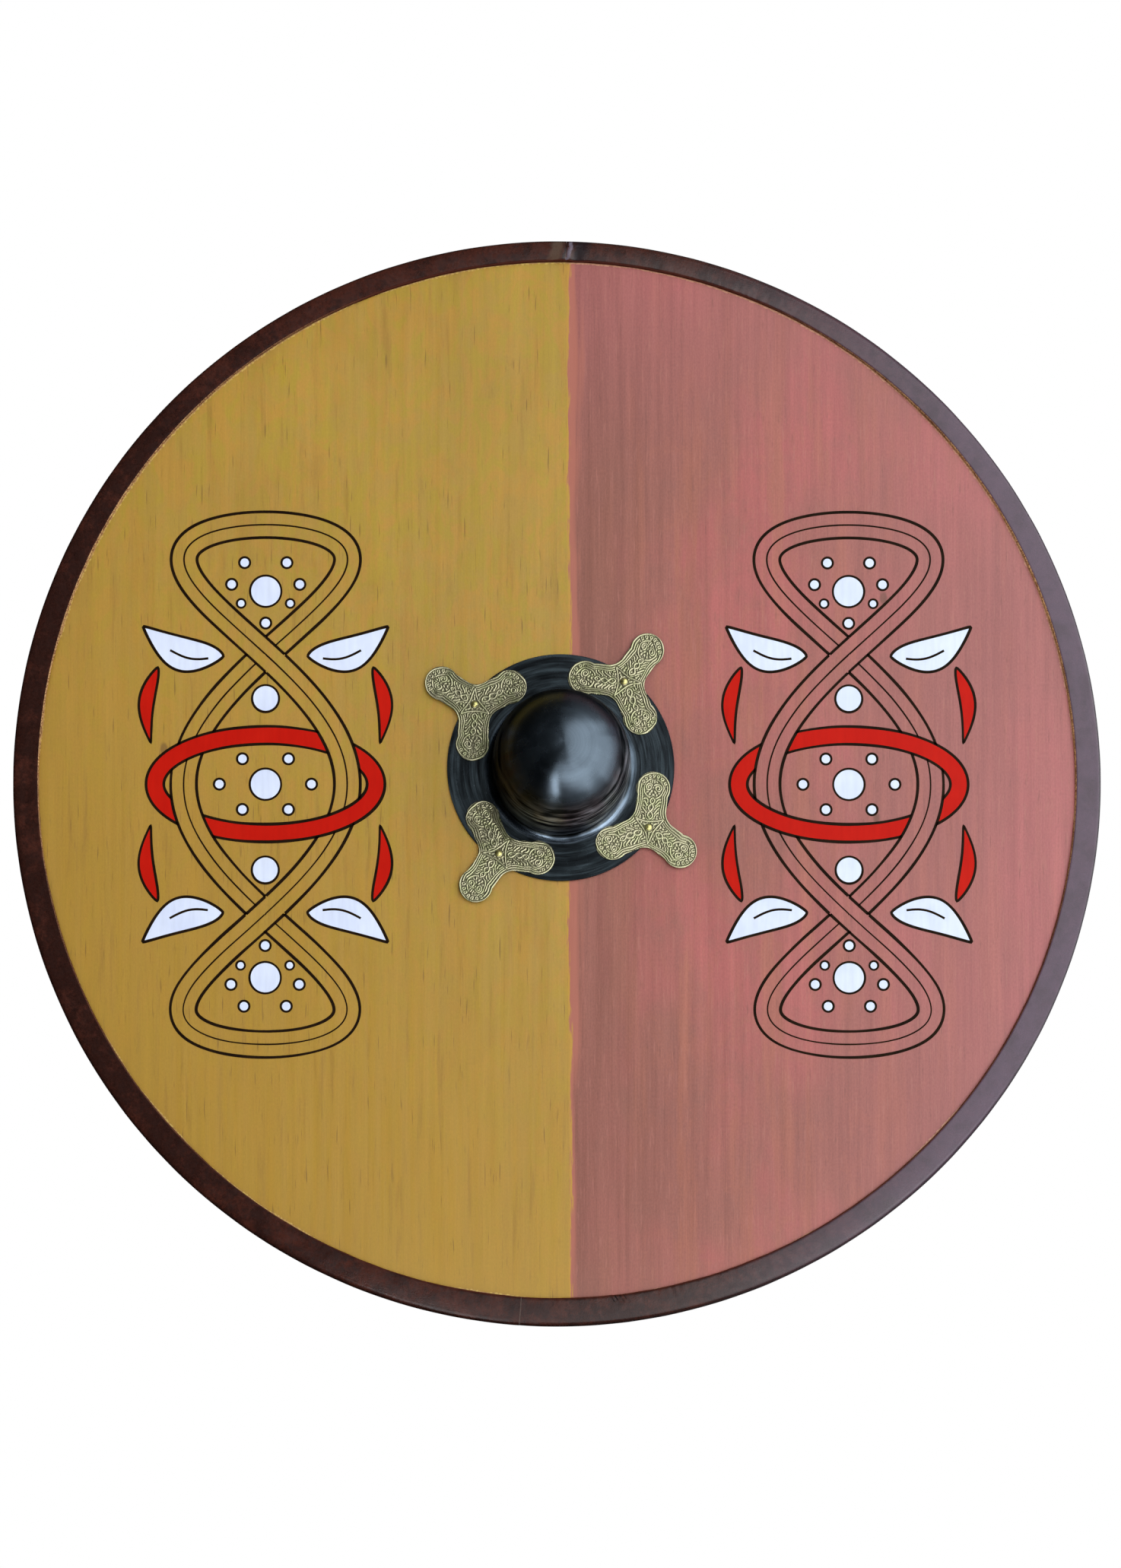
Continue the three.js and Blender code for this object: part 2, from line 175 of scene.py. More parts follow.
class Finish:
    """A procedural material, built up node by node round one Principled shader. x, y and z are the
    place on the shield in metres."""

    def __init__(self, name):
        self.material = bpy.data.materials.new(name)
        self.material.use_nodes = True
        tree = self.material.node_tree
        self.nodes, self.links = tree.nodes, tree.links
        self.shader = self.nodes["Principled BSDF"]
        self.place = self.add("ShaderNodeTexCoord").outputs["Object"]
        self.x, self.y, self.z = self.split(self.place)

    def add(self, kind, inputs=None, **settings):
        """A new node. Its inputs are given by name or number, each as a value or a socket."""
        node = self.nodes.new(kind)
        for key, value in settings.items():
            setattr(node, key, value)
        for key, value in (inputs or {}).items():
            self.feed(node.inputs[key], value)
        return node

    def feed(self, socket, value):
        if is_socket(value):
            self.links.new(value, socket)
        else:
            socket.default_value = value

    def math(self, operation, first, second=0.0):
        return self.add("ShaderNodeMath", {0: first, 1: second}, operation=operation).outputs[0]

    def total(self, first, *others):
        for other in others:
            first = self.math("ADD", first, other)
        return first

    def product(self, first, *others):
        for other in others:
            first = self.math("MULTIPLY", first, other)
        return first

    def less(self, first, second):
        return self.math("SUBTRACT", first, second)

    def split(self, vector):
        return self.add("ShaderNodeSeparateXYZ", {0: vector}).outputs

    def join(self, x=0.0, y=0.0, z=0.0):
        return self.add("ShaderNodeCombineXYZ", {0: x, 1: y, 2: z}).outputs[0]

    def polar(self, middle=(0.0, 0.0)):
        """How far a point lies across, up and out from a middle, seen from the front."""
        across, up = self.less(self.x, middle[0]), self.less(self.z, middle[1])
        squared = self.total(self.product(across, across), self.product(up, up))
        return across, up, self.math("SQRT", squared)

    def stretched(self, cells, shift):
        """The place in so many cells a metre along each axis, or in one number of them along all."""
        scale = cells if isinstance(cells, tuple) else (cells, cells, cells)
        inputs = {0: self.place, 1: scale, 2: shift}
        return self.add("ShaderNodeVectorMath", inputs, operation="MULTIPLY_ADD").outputs[0]

    def noise(self, cells, shift=(0, 0, 0), detail=2.0, roughness=0.5, distortion=0.0):
        """Clouds of the size that the cells give. The cells may also be a vector made by the caller."""
        vector = cells if is_socket(cells) else self.stretched(cells, shift)
        inputs = {"Vector": vector, "Scale": 1.0, "Detail": detail, "Roughness": roughness}
        return self.add("ShaderNodeTexNoise", {**inputs, "Distortion": distortion}).outputs[0]

    def scattered(self, cells, shift=(0, 0, 0)):
        """Distance to the nearest of scattered points, and that point's own colour."""
        inputs = {"Vector": self.stretched(cells, shift), "Scale": 1.0, "Randomness": 1.0}
        outputs = self.add("ShaderNodeTexVoronoi", inputs).outputs
        return outputs["Distance"], outputs["Color"]

    def band(self, value, low, high, from_value=0.0, to_value=1.0, smooth=True):
        """The value mapped from low..high to from_value..to_value, and held beyond."""
        inputs = dict(enumerate((value, low, high, from_value, to_value)))
        kind = "SMOOTHSTEP" if smooth else "LINEAR"
        return self.add("ShaderNodeMapRange", inputs, interpolation_type=kind).outputs[0]

    def mix(self, share, first, second, blend="MIX"):
        """The first colour with a share of the second over it."""
        inputs = {0: share, 6: opaque(first), 7: opaque(second)}
        return self.add("ShaderNodeMix", inputs, data_type="RGBA", blend_type=blend).outputs[2]

    def scaled(self, colour, factor):
        return self.mix(1.0, colour, self.join(factor, factor, factor), "MULTIPLY")

    def bump(self, height, distance, strength, below=None):
        """A bumped normal, laid over the one below where there is one."""
        inputs = {"Height": height, "Distance": distance, "Strength": strength}
        if below is not None:
            inputs["Normal"] = below
        return self.add("ShaderNodeBump", inputs).outputs[0]

    def done(self, colour, roughness, normal=None, **others):
        """Feeds the shader, whose other inputs are named with _ for a space. Gives the material."""
        others.update(Base_Color=opaque(colour), Roughness=roughness)
        if normal is not None:
            others["Normal"] = normal
        for name, value in others.items():
            self.feed(self.shader.inputs[name.replace("_", " ")], value)
        return self.material


class Coat:
    """A colour that stains and shading are laid over in turn. Tints are factors of its own shade."""

    def __init__(self, finish, shade, *factors):
        self.finish, self.shade = finish, shade
        self.colour = self.tint(*factors)

    def tint(self, *factors):
        return tinted(self.shade, *factors)

    def cover(self, share, colour):
        """Lays a share of another colour over the coat."""
        self.colour = self.finish.mix(share, self.colour, colour)

    def stain(self, value, low, high, share, factors):
        """A tint whose share grows from none where the value is low to the full one where it is high."""
        self.cover(self.finish.band(value, low, high, 0, share), self.tint(*factors))

    def vary(self, value, depth):
        """Makes the colour darker and lighter by depth where the value leaves one half."""
        factor = self.finish.band(value, 0.2, 0.8, 1 - depth, 1 + depth, smooth=False)
        self.colour = self.finish.scaled(self.colour, factor)


# The board's finishes
SPLIT_WANDER = 1.8 * MM
FRAY = 1.6 * MM
GLUE_REACH = 1.7 * MM


def wood_grain(finish, shift=(0, 0, 0)):
    """Three scales of upright grain: fibres, streaks and broad clouds."""
    fibres = finish.noise((900, 1, 16), shift, detail=3, roughness=0.6)
    streaks = finish.noise((170, 1, 4.5), shift, detail=3, roughness=0.55)
    clouds = finish.noise((24, 1, 8), shift, detail=4, roughness=0.6)
    return fibres, streaks, clouds


def edge_distance(finish):
    """How far a point of the front lies inside the cut edge of the leather."""
    _, up, radius = finish.polar(BOARD_MIDDLE)
    slope = finish.math("DIVIDE", up, radius)
    is_upper = finish.math("GREATER_THAN", up, 0.0)
    upright = finish.band(is_upper, 0, 1, EDGING_BOTTOM, EDGING_TOP, smooth=False)
    wider = finish.product(finish.less(upright, EDGING_SIDE), slope, slope)
    inner = finish.less(RIM_RADIUS - EDGING_SIDE, wider)
    return finish.less(inner, radius)


def yellow_coat(finish, shade, grain, clouding):
    """Mustard paint: olive and ochre pools, umber smudges and runs, dark ticks of grain, and painted shade
    towards the lower left.
    """
    fibres, streaks, clouds = grain
    pools, washes, blotches, speckle = clouding
    coat = Coat(finish, shade, 0.92, 1.05, 0.84)
    coat.stain(pools, 0.42, 0.58, 1.0, (1.03, 0.975, 1.10))
    coat.stain(clouds, 0.48, 0.70, 0.45, (0.80, 0.76, 1.05))
    coat.stain(blotches, 0.46, 0.60, 0.65, (0.92, 0.98, 1.32))
    smudges = finish.noise((30, 1, 17), (2, 0, 12), detail=4, roughness=0.65)
    coat.stain(smudges, 0.55, 0.70, 0.40, (0.78, 0.78, 1.0))
    coat.vary(washes, 0.08)
    # Painted shade: the yellow grows darker and less blue towards the lower left, away from the light.
    to_upper_right = finish.total(finish.x, finish.z)
    coat.stain(to_upper_right, 0.05, -0.45, 0.8, (0.92, 0.90, 0.74))
    runs = finish.noise((130, 1, 11), (6, 0, 4), detail=3, roughness=0.6)
    coat.stain(runs, 0.56, 0.72, 0.55, (0.72, 0.68, 0.80))
    for value, depth in ((streaks, 0.06), (fibres, 0.06), (speckle, 0.07)):
        coat.vary(value, depth)
    ticks = finish.noise((620, 1, 42), (7, 0, 3), detail=1)
    coat.stain(ticks, 0.64, 0.78, 0.70, (0.45, 0.42, 0.6))
    return coat


def red_coat(finish, shade, grain, clouding):
    """Brick red paint: brown and rose washes, rusty stripes, deeper beside the split, a painted pink sheen
    towards the rim, and pale and dark ticks of grain."""
    fibres, streaks, clouds = grain
    pools, washes, blotches, speckle = clouding
    brown, rust = (0.88, 1.02, 0.97), (1.04, 1.16, 0.92)
    coat = Coat(finish, shade, *brown)
    coat.stain(washes, 0.42, 0.60, 1.0, (1.12, 0.98, 1.12))
    coat.stain(clouds, 0.48, 0.66, 0.65, brown)
    coat.stain(pools, 0.50, 0.64, 0.35, rust)
    coat.stain(blotches, 0.48, 0.64, 0.3, (0.76, 1.0, 0.98))
    stripes = finish.noise((48, 1, 5), (12, 0, 3), detail=3, roughness=0.6)
    coat.stain(stripes, 0.50, 0.64, 0.7, rust)
    coat.stain(finish.x, 90 * MM, 24 * MM, 0.80, (0.72, 0.90, 0.80))
    # Painted sheen: the red turns pinker and bluer towards the right edge and the top.
    pink_painted_sheen = finish.math("MAXIMUM", finish.band(finish.x, 0.10, 0.36), finish.band(finish.z, 0.18, 0.38))
    coat.cover(finish.product(pink_painted_sheen, 0.65), coat.tint(1.10, 1.10, 1.40))
    for value, depth in ((washes, 0.08), (streaks, 0.15), (fibres, 0.10), (speckle, 0.12)):
        coat.vary(value, depth)
    pale_ticks = finish.noise((620, 1, 50), (3, 0, 11))
    coat.stain(pale_ticks, 0.56, 0.74, 0.40, (1.22, 1.55, 1.55))
    dark_ticks = finish.noise((560, 1, 60), (13, 0, 1))
    coat.stain(dark_ticks, 0.60, 0.78, 0.50, (0.55, 0.66, 0.64))
    return coat


def beyond_split(finish, sizes):
    """How far right of the wandering line between the two paints a point lies."""
    wander = finish.noise((0, 0, 5), (0.5, 0.5, 0.3), detail=3)
    low, high = sizes.split_right - SPLIT_WANDER, sizes.split_right + SPLIT_WANDER
    return finish.less(finish.x, finish.band(wander, 0.25, 0.75, low, high))


def joined_coats(finish, yellow, red, past_split, red_streaks):
    """The two paints where they meet: a thin lap of the red, a paler edge of the yellow, and a
    frayed line between them."""
    lap_noise = finish.noise((0, 0, 9), (0.2, 0.8, 5))
    lap_width = finish.total(
        finish.band(lap_noise, 0.3, 0.7, 3 * MM, 10 * MM),
        finish.band(red_streaks, 0.3, 0.7, -3 * MM, 3 * MM),
    )
    past_lap = finish.less(past_split, lap_width)
    red.stain(past_lap, 3 * MM, -4 * MM, 0.80, (1.22, 1.30, 1.10))
    yellow.stain(past_split, -2.2 * MM, -0.4 * MM, 0.45, (1.25, 1.12, 1.1))
    threads = finish.noise((420, 1, 36), (4, 0, 8), detail=3, roughness=0.7)
    frayed = finish.total(past_split, finish.band(threads, 0.3, 0.7, -FRAY, FRAY))
    return finish.mix(finish.band(frayed, -0.7 * MM, 0.9 * MM), yellow.colour, red.colour)


def knotted(finish, colour):
    """The colour with a few small dark knots."""
    distance, kind = finish.scattered((21, 1, 12), (2, 0, 5))
    chosen = finish.band(finish.split(kind)[0], 0.72, 0.74)
    knots = finish.product(finish.band(distance, 0.035, 0.075, 0.55, 0), chosen)
    return finish.mix(knots, colour, linear(86, 58, 40))


def glued(finish, colour, past_split):
    """The colour with dried glue along the leather's cut edge, most of it at the top."""
    bits = finish.noise((520, 1, 520), detail=3)
    runs = finish.noise((17, 1, 17), (9, 0, 0))
    at_top = finish.band(finish.z, -0.15, 0.2, -0.04, 0.17)
    spread = finish.band(finish.total(runs, at_top), 0.44, 0.66, 0.0, GLUE_REACH)
    reach = finish.product(spread, finish.band(bits, 0.30, 0.75, 0.45, 1.0))
    past_glue = finish.less(edge_distance(finish), reach)
    glue = finish.band(past_glue, -0.3 * MM, 0.15 * MM, 0.7, 0)
    on_red = finish.math("GREATER_THAN", past_split, 0)
    pale = finish.mix(on_red, linear(214, 184, 100), linear(200, 150, 118))
    tint = finish.mix(finish.band(bits, 0.45, 0.58), linear(178, 132, 96), pale)
    return finish.mix(glue, colour, tint)


def paint_finish(colours, sizes):
    """Two thin coats over the grain, mustard on the left and brick red on the right."""
    finish = Finish("split_paint")
    pools = finish.noise((58, 1, 32), (8, 0, 2), detail=6, roughness=0.7, distortion=1.0)
    washes = finish.noise((9, 1, 5), (1, 0, 6), detail=4)
    blotches = finish.noise((42, 1, 30), (3, 0, 7), detail=5, roughness=0.7)
    speckle = finish.noise((900, 1, 500), (5, 0, 9))
    clouding = (pools, washes, blotches, speckle)
    left_grain = wood_grain(finish)
    right_grain = wood_grain(finish, (31, 0, 17))
    fibres, streaks, _ = left_grain
    red_streaks = right_grain[1]
    yellow = yellow_coat(finish, colours.yellow, left_grain, clouding)
    red = red_coat(finish, colours.red, right_grain, clouding)
    past_split = beyond_split(finish, sizes)
    colour = joined_coats(finish, yellow, red, past_split, red_streaks)
    colour = glued(finish, knotted(finish, colour), past_split)
    grain_height = finish.product(finish.total(fibres, streaks), 0.6)
    sheen = finish.band(red_streaks, 0.3, 0.7, 0.36, 0.50)
    return finish.done(colour, sheen, finish.bump(grain_height, 0.10 * MM, 0.6), Specular_IOR_Level=0.36)


def bare_wood_finish(colours):
    """Sanded plywood with upright grain and a few darker lines."""
    finish = Finish("bare_plywood")
    fibres, streaks, clouds = wood_grain(finish, (11, 0, 29))
    rings = finish.noise((60, 1, 1.6), (4, 0, 1), detail=5, roughness=0.6, distortion=0.6)
    coat = Coat(finish, colours.bare_wood)
    coat.stain(rings, 0.42, 0.60, 1.0, (0.80, 0.72, 0.62))
    coat.stain(clouds, 0.4, 0.7, 0.5, (1.08, 1.05, 0.95))
    coat.vary(fibres, 0.12)
    pores = finish.noise((1500, 1, 40), (1, 0, 8), detail=1)
    coat.stain(pores, 0.68, 0.78, 0.6, (0.4, 0.33, 0.28))
    normal = finish.bump(finish.total(fibres, streaks), 0.10 * MM, 0.5)
    return finish.done(coat.colour, finish.band(streaks, 0.3, 0.7, 0.5, 0.62), normal)


def ply_finish(colours, sizes):
    """Veneers seen edge on, light and dark in turn."""
    finish = Finish("ply_edge")
    pair = finish.band(finish.y, PAINT_FACE, BOARD_BACK, 0, sizes.ply_count / 2, smooth=False)
    speckle = finish.noise((700, 300, 700), detail=3)
    coat = Coat(finish, colours.bare_wood, 1.0, 0.96, 0.9)
    coat.stain(finish.math("FRACT", pair), 0.46, 0.54, 1.0, (0.62, 0.52, 0.42))
    coat.vary(speckle, 0.18)
    return finish.done(coat.colour, 0.7, finish.bump(speckle, 0.15 * MM, 0.6))


def brush_finish(name, shade, drift):
    """A thick brushed paint whose tone drifts a little along the strokes."""
    finish = Finish(name)
    strokes = finish.noise((260, 1, 40), detail=3)
    coat = Coat(finish, shade)
    coat.stain(finish.noise((30, 1, 30), (3, 0, 6), detail=3), 0.35, 0.68, 1.0, drift)
    coat.vary(strokes, 0.07)
    return finish.done(coat.colour, 0.5, finish.bump(strokes, 0.05 * MM, 0.5), Specular_IOR_Level=0.04)


# The leather's finish

def paint_top_joint_light(finish, coat, angle, from_edge, smears):
    """Beside the top joint, painted light and shade follow the lap: a grey sheen on the left strip, a dark
    crease, a pale bluish highlight on the ridge and a dark dip beyond it.
    """
    along = finish.product(finish.less(angle, math.radians(TOP_JOINT)), RIM_RADIUS)
    leaning = finish.product(finish.less(from_edge, 8 * MM), -0.24)
    ragged = finish.band(smears, 0.3, 0.7, -1.2 * MM, 1.2 * MM)
    past_joint = finish.total(along, leaning, ragged)
    # Each row is (start, end, colour, share): painted sheen, painted shade in the crease, painted highlight
    # on the ridge and painted shade in the dip.
    for low, high, tint, share in (
        (1.0 * MM, 14 * MM, (96, 80, 66), 0.55),
        (-0.6 * MM, 1.8 * MM, (20, 12, 12), 0.7),
        (-4.6 * MM, -0.4 * MM, (132, 124, 140), 0.50),
        (-19 * MM, -3.4 * MM, (22, 16, 20), 0.80),
    ):
        soft = (high - low) * 0.4
        enters = finish.band(past_joint, low, low + soft)
        leaves = finish.band(past_joint, high - soft, high, share, 0)
        coat.cover(finish.product(enters, leaves), linear(*tint))


def mark_bottom_joint(finish, coat, angle):
    """The bottom joint is a pale hair line."""
    off_seam = finish.math("ABSOLUTE", finish.less(angle, math.radians(BOTTOM_JOINT - 360)))
    seam = finish.band(finish.product(off_seam, RIM_RADIUS), 0.1 * MM, 0.45 * MM, 0.35, 0)
    coat.cover(seam, linear(136, 120, 110))


def fold_shade_mask(finish, angle, from_edge, smears):
    """Where the leather is pinched into folds, to the right of the bottom joint. The folds are darkened with
    painted shade.
    """
    beside = finish.product(finish.less(angle, math.radians(PUCKERS_AT)), RIM_RADIUS)
    inside = finish.less(EDGING_BOTTOM, from_edge)
    leant = finish.total(beside, finish.product(inside, PUCKER_LEAN))
    wave = finish.math("COSINE", finish.product(leant, 2 * math.pi / PUCKER_PITCH))
    folds = finish.total(wave, finish.band(smears, 0.35, 0.65, -0.9, 0.3))
    near = finish.band(finish.math("ABSOLUTE", beside), 3 * MM, 8 * MM, 1, 0)
    at_edge = finish.band(inside, 3 * MM, 7 * MM, 1, 0)
    return finish.product(near, at_edge, finish.band(folds, 0.1, 0.9))


def show_cut_edge(finish, coat, edge, patches):
    """The cut edge is lightened as painted light, so that it still reads as brown where it faces down into
    shade, and at the sides some of it is raw and fuzzy.
    """
    # Painted light: a much lighter brown along the cut edge.
    cut = finish.band(edge, -0.65 * MM, -0.40 * MM)
    coat.cover(cut, coat.tint(2.8, 2.4, 2.2))
    fuzz = finish.noise(1100, (2, 7, 1))
    raw = finish.mix(finish.band(fuzz, 0.36, 0.62), linear(110, 64, 40), linear(206, 164, 112))
    at_side = finish.band(finish.math("ABSOLUTE", finish.x), 0.12, 0.34)
    upward = finish.band(finish.z, -0.16, 0.04, 0.12, 1)
    undyed = finish.band(patches, 0.30, 0.55, 0.45, 0.95)
    coat.cover(finish.product(cut, at_side, upward, undyed), raw)


def waxed_coat(finish, shade, patches, smears, creases, pores):
    """Mottled brown wax, lighter at the top and darker at the left, with smears that carry a painted bluish
    sheen, dark creases, pores and flecks, and a painted violet sheen at the right."""
    coat = Coat(finish, shade)
    at_top = finish.band(finish.z, 0.1, 0.38, 0, 0.05)
    at_left = finish.band(finish.x, -0.38, -0.12, -0.05, 0)
    mottle = finish.total(finish.product(patches, 0.6), finish.product(smears, 0.4), at_top, at_left)
    coat.stain(mottle, 0.42, 0.62, 1.0, (2.2, 2.0, 1.85))
    # Painted sheen: a share of bluish grey laid over the smears.
    coat.stain(smears, 0.56, 0.72, 0.30, (1.5, 2.0, 2.5))
    coat.stain(creases, 0.56, 0.74, 0.45, (0.45, 0.5, 0.6))
    coat.vary(finish.band(pores, 0.0, 0.6), 0.12)
    coat.vary(finish.noise(480, detail=3, roughness=0.6), 0.30)
    # Painted sheen: violet grey laid over the leather towards the right.
    at_right = finish.band(finish.x, 0.08, 0.34, 0, 0.75)
    violet_painted_sheen = finish.product(at_right, finish.band(patches, 0.25, 0.6, 0.6, 1.0))
    coat.cover(violet_painted_sheen, linear(84, 62, 82))
    return coat


def leather_finish(colours):
    """Waxed brown leather, mottled, with fine pores and creases across the edge."""
    finish = Finish("edging_leather")
    across, up, radius = finish.polar(BOARD_MIDDLE)
    angle = finish.math("ARCTAN2", up, across)
    from_edge = finish.less(RIM_RADIUS, radius)
    patches = finish.noise(60, detail=5, roughness=0.65)
    smears = finish.noise(130, (5, 0, 2), detail=5, roughness=0.7)
    turned = finish.join(finish.product(angle, 42), finish.product(radius, 70), finish.product(finish.y, 70))
    creases = finish.noise(turned, detail=4, roughness=0.6)
    pores, _ = finish.scattered(1100)

    coat = waxed_coat(finish, colours.leather, patches, smears, creases, pores)
    paint_top_joint_light(finish, coat, angle, from_edge, smears)
    mark_bottom_joint(finish, coat, angle)
    pinched = fold_shade_mask(finish, angle, from_edge, smears)
    # Painted shade: the pinched folds are painted near black.
    coat.cover(pinched, linear(10, 6, 5))
    edge = edge_distance(finish)
    show_cut_edge(finish, coat, edge, patches)
    # Painted shade: the leather darkens towards its outer edge, round the rim's bend.
    coat.stain(from_edge, 3.2 * MM, 0.8 * MM, 0.75, (0.35, 0.3, 0.3))

    creased = finish.bump(creases, 0.35 * MM, 0.45)
    normal = finish.bump(pores, 0.10 * MM, 0.35, creased)
    rubbed = finish.band(from_edge, 4 * MM, 8 * MM, -0.06, 0)
    sheen = finish.total(finish.band(smears, 0.3, 0.7, 0.35, 0.22), rubbed)
    dull = finish.math("MAXIMUM", finish.band(edge, -1.6 * MM, -0.6 * MM), pinched)
    waxed = finish.band(finish.total(finish.x, finish.z), -0.40, 0.05, 0.24, 0.5)
    return finish.done(coat.colour, sheen, normal, Specular_IOR_Level=finish.band(dull, 0, 1, waxed, 0.05))


# The boss's finish, in zones by how far they lie from its axis
DOME_ENDS = (35 * MM, 43.5 * MM)
WALL_BEGINS = (37 * MM, 46 * MM)
FLANGE_BEGINS = (50.5 * MM, 52.5 * MM)
FOOT_ENDS = (54 * MM, 57 * MM)


def turned_marks(finish, across, up, radius):
    """What spinning leaves on the steel: even rings, uneven rings, broad bands and smudges."""
    along = finish.less(radius, finish.y)
    way = [finish.product(finish.math("DIVIDE", part, radius), 1.6) for part in (across, up)]
    even_rings = finish.noise(finish.join(finish.product(along, 520)), detail=3, roughness=0.6)
    rings = finish.noise(finish.join(finish.product(along, 700), *way), roughness=0.6)
    bands = finish.noise(finish.join(finish.product(along, 170), *way), detail=3, roughness=0.6)
    smudges = finish.noise(45, detail=4, roughness=0.6)
    return even_rings, rings, bands, smudges


def steel_coat(finish, shade, polar, zones, marks):
    """The steel's colour: a bright dome, a dark wall whose turning marks carry a painted highlight towards
    the lower right, and a darker flange whose foot carries a painted highlight that is lightest at the
    bottom."""
    across, up, radius = polar
    on_wall, on_flange, at_foot = zones
    even_rings, rings, bands, smudges = marks
    coat = Coat(finish, shade, 1.92, 2.06, 2.18)
    coat.stain(radius, *DOME_ENDS, 1.0, (0.30, 0.30, 0.26))
    coat.cover(on_flange, coat.tint(0.38, 0.44, 0.44))
    # Painted highlight: the wall's turning marks turn pale only towards the lower right, where the light
    # falls.
    lower_right = finish.band(finish.less(across, up), -30 * MM, 60 * MM, 0.15, 1.0)
    turned = finish.product(on_wall, lower_right, finish.band(rings, 0.34, 0.58))
    coat.cover(turned, coat.tint(3.0, 2.9, 2.8))
    # Painted highlight on the foot, brightest at the bottom and darker upward.
    upward = finish.band(up, -52 * MM, -10 * MM)
    coat.cover(at_foot, finish.mix(upward, coat.tint(3.3, 3.5, 3.8), coat.tint(0.85, 0.93, 1.0)))
    for value, on_dome, beyond in (
        (even_rings, 0.07, 0.0),
        (rings, 0.0, 0.50),
        (bands, 0.0, 0.62),
        (smudges, 0.12, 0.12),
    ):
        depth = finish.band(radius, 38 * MM, 50 * MM, on_dome, beyond)
        change = finish.product(finish.band(value, 0.34, 0.66, -1, 1), depth)
        coat.colour = finish.scaled(coat.colour, finish.total(change, 1.0))
    return coat


def steel_finish(colours):
    """Blackened spun steel: a polished dome, turning marks low on its wall with a painted highlight, and a
    darker flange with long streaks."""
    finish = Finish("blackened_steel")
    polar = finish.polar()
    radius = polar[2]
    marks = turned_marks(finish, *polar)
    even_rings, rings, bands, smudges = marks
    on_flange = finish.band(radius, *FLANGE_BEGINS)
    on_wall = finish.product(finish.band(radius, *WALL_BEGINS), finish.less(1.0, on_flange))
    at_foot = finish.product(on_flange, finish.band(radius, *FOOT_ENDS, 1, 0))
    coat = steel_coat(finish, colours.steel, polar, (on_wall, on_flange, at_foot), marks)
    streaks = finish.total(rings, finish.product(bands, 3))
    deep = finish.product(streaks, finish.band(radius, 40 * MM, 50 * MM))
    normal = finish.bump(finish.total(deep, finish.product(even_rings, 0.16)), 0.05 * MM, 0.6)
    sheen = finish.total(finish.band(smudges, 0.3, 0.7, 0.22, 0.30), finish.product(on_wall, 0.12))
    oxide = finish.less(on_flange, at_foot)
    return finish.done(
        coat.colour, sheen, normal,
        Metallic=finish.band(oxide, 0, 1, 1.0, 0.45),
        Anisotropic=finish.band(oxide, 0, 1, 0.75, 0.50),
        Anisotropic_Rotation=0.25,
        Specular_Tint=(0.36, 0.36, 0.42, 1),
        Tangent=finish.add("ShaderNodeTangent", direction_type="RADIAL", axis="Y").outputs[0],
    )


# The small pieces' finishes

def brass_finish(shade, sizes, name, patina, gloss):
    """Cast brass, pale where it is rubbed and darker in its recesses."""
    finish = Finish(name)
    deepest = MOUNT_FRONT + 0.85 * sizes.relief_depth
    recess = finish.band(finish.y, MOUNT_FRONT + 0.12 * MM, deepest)
    tarnish = finish.noise(130, detail=4, roughness=0.6)
    grit = finish.noise(1600)
    coat = Coat(finish, shade)
    coat.stain(tarnish, 0.4, 0.66, 1.0, (0.86, 0.92, 0.80))
    coat.cover(finish.product(recess, patina), linear(46, 42, 24))
    coat.vary(grit, 0.08)
    sheen = finish.band(recess, 0, 1, gloss, 0.62, smooth=False)
    return finish.done(coat.colour, sheen, finish.bump(grit, 0.05 * MM, 0.5), Metallic=1.0)


def zinc_finish(name, shade):
    """Dull plated steel with handling marks."""
    finish = Finish(name)
    spangle = finish.noise(420, detail=4, roughness=0.6)
    scratches = finish.noise((2200, 300, 260))
    coat = Coat(finish, shade)
    coat.vary(spangle, 0.2)
    coat.cover(finish.band(spangle, 0.6, 0.75, 0, 0.5), linear(120, 104, 84))
    normal = finish.bump(scratches, 0.03 * MM, 0.5)
    return finish.done(coat.colour, finish.band(spangle, 0.3, 0.7, 0.34, 0.5), normal, Metallic=1.0)


def grip_finish(colours):
    """Oiled ash with long grain, darker where the hand has rubbed it."""
    finish = Finish("oiled_ash")
    rings = finish.noise((2.2, 150, 150), (3, 1, 2), detail=4, roughness=0.55, distortion=0.5)
    fibres = finish.noise((22, 1100, 1100), detail=3, roughness=0.6)
    pores = finish.noise((60, 1700, 1700), (1, 4, 2), detail=1)
    coat = Coat(finish, colours.grip_wood, 1.15, 1.15, 1.1)
    coat.stain(rings, 0.42, 0.58, 1.0, (0.72, 0.64, 0.55))
    from_hand = finish.math("ABSOLUTE", finish.x)
    coat.stain(from_hand, 90 * MM, 50 * MM, 0.45, (0.42, 0.38, 0.36))
    coat.vary(fibres, 0.14)
    coat.stain(pores, 0.66, 0.76, 0.6, (0.3, 0.25, 0.22))
    normal = finish.bump(finish.total(fibres, rings), 0.12 * MM, 0.4)
    return finish.done(coat.colour, finish.band(fibres, 0.3, 0.7, 0.40, 0.52), normal)


# Making meshes
ON_AXIS = 1e-9


def new_mesh(name, points, faces, finishes=(), finish_of=None):
    """A mesh with its finishes. finish_of holds the number of each face's finish."""
    mesh = bpy.data.meshes.new(name)
    mesh.from_pydata([tuple(point) for point in points], [], [tuple(face) for face in faces])
    for finish in finishes:
        mesh.materials.append(finish)
    if finish_of is not None:
        mesh.polygons.foreach_set("material_index", finish_of)
    return mesh


def new_object(name, data):
    """A mesh, lamp or camera put into the scene."""
    made = bpy.data.objects.new(name, data)
    bpy.context.scene.collection.objects.link(made)
    return made


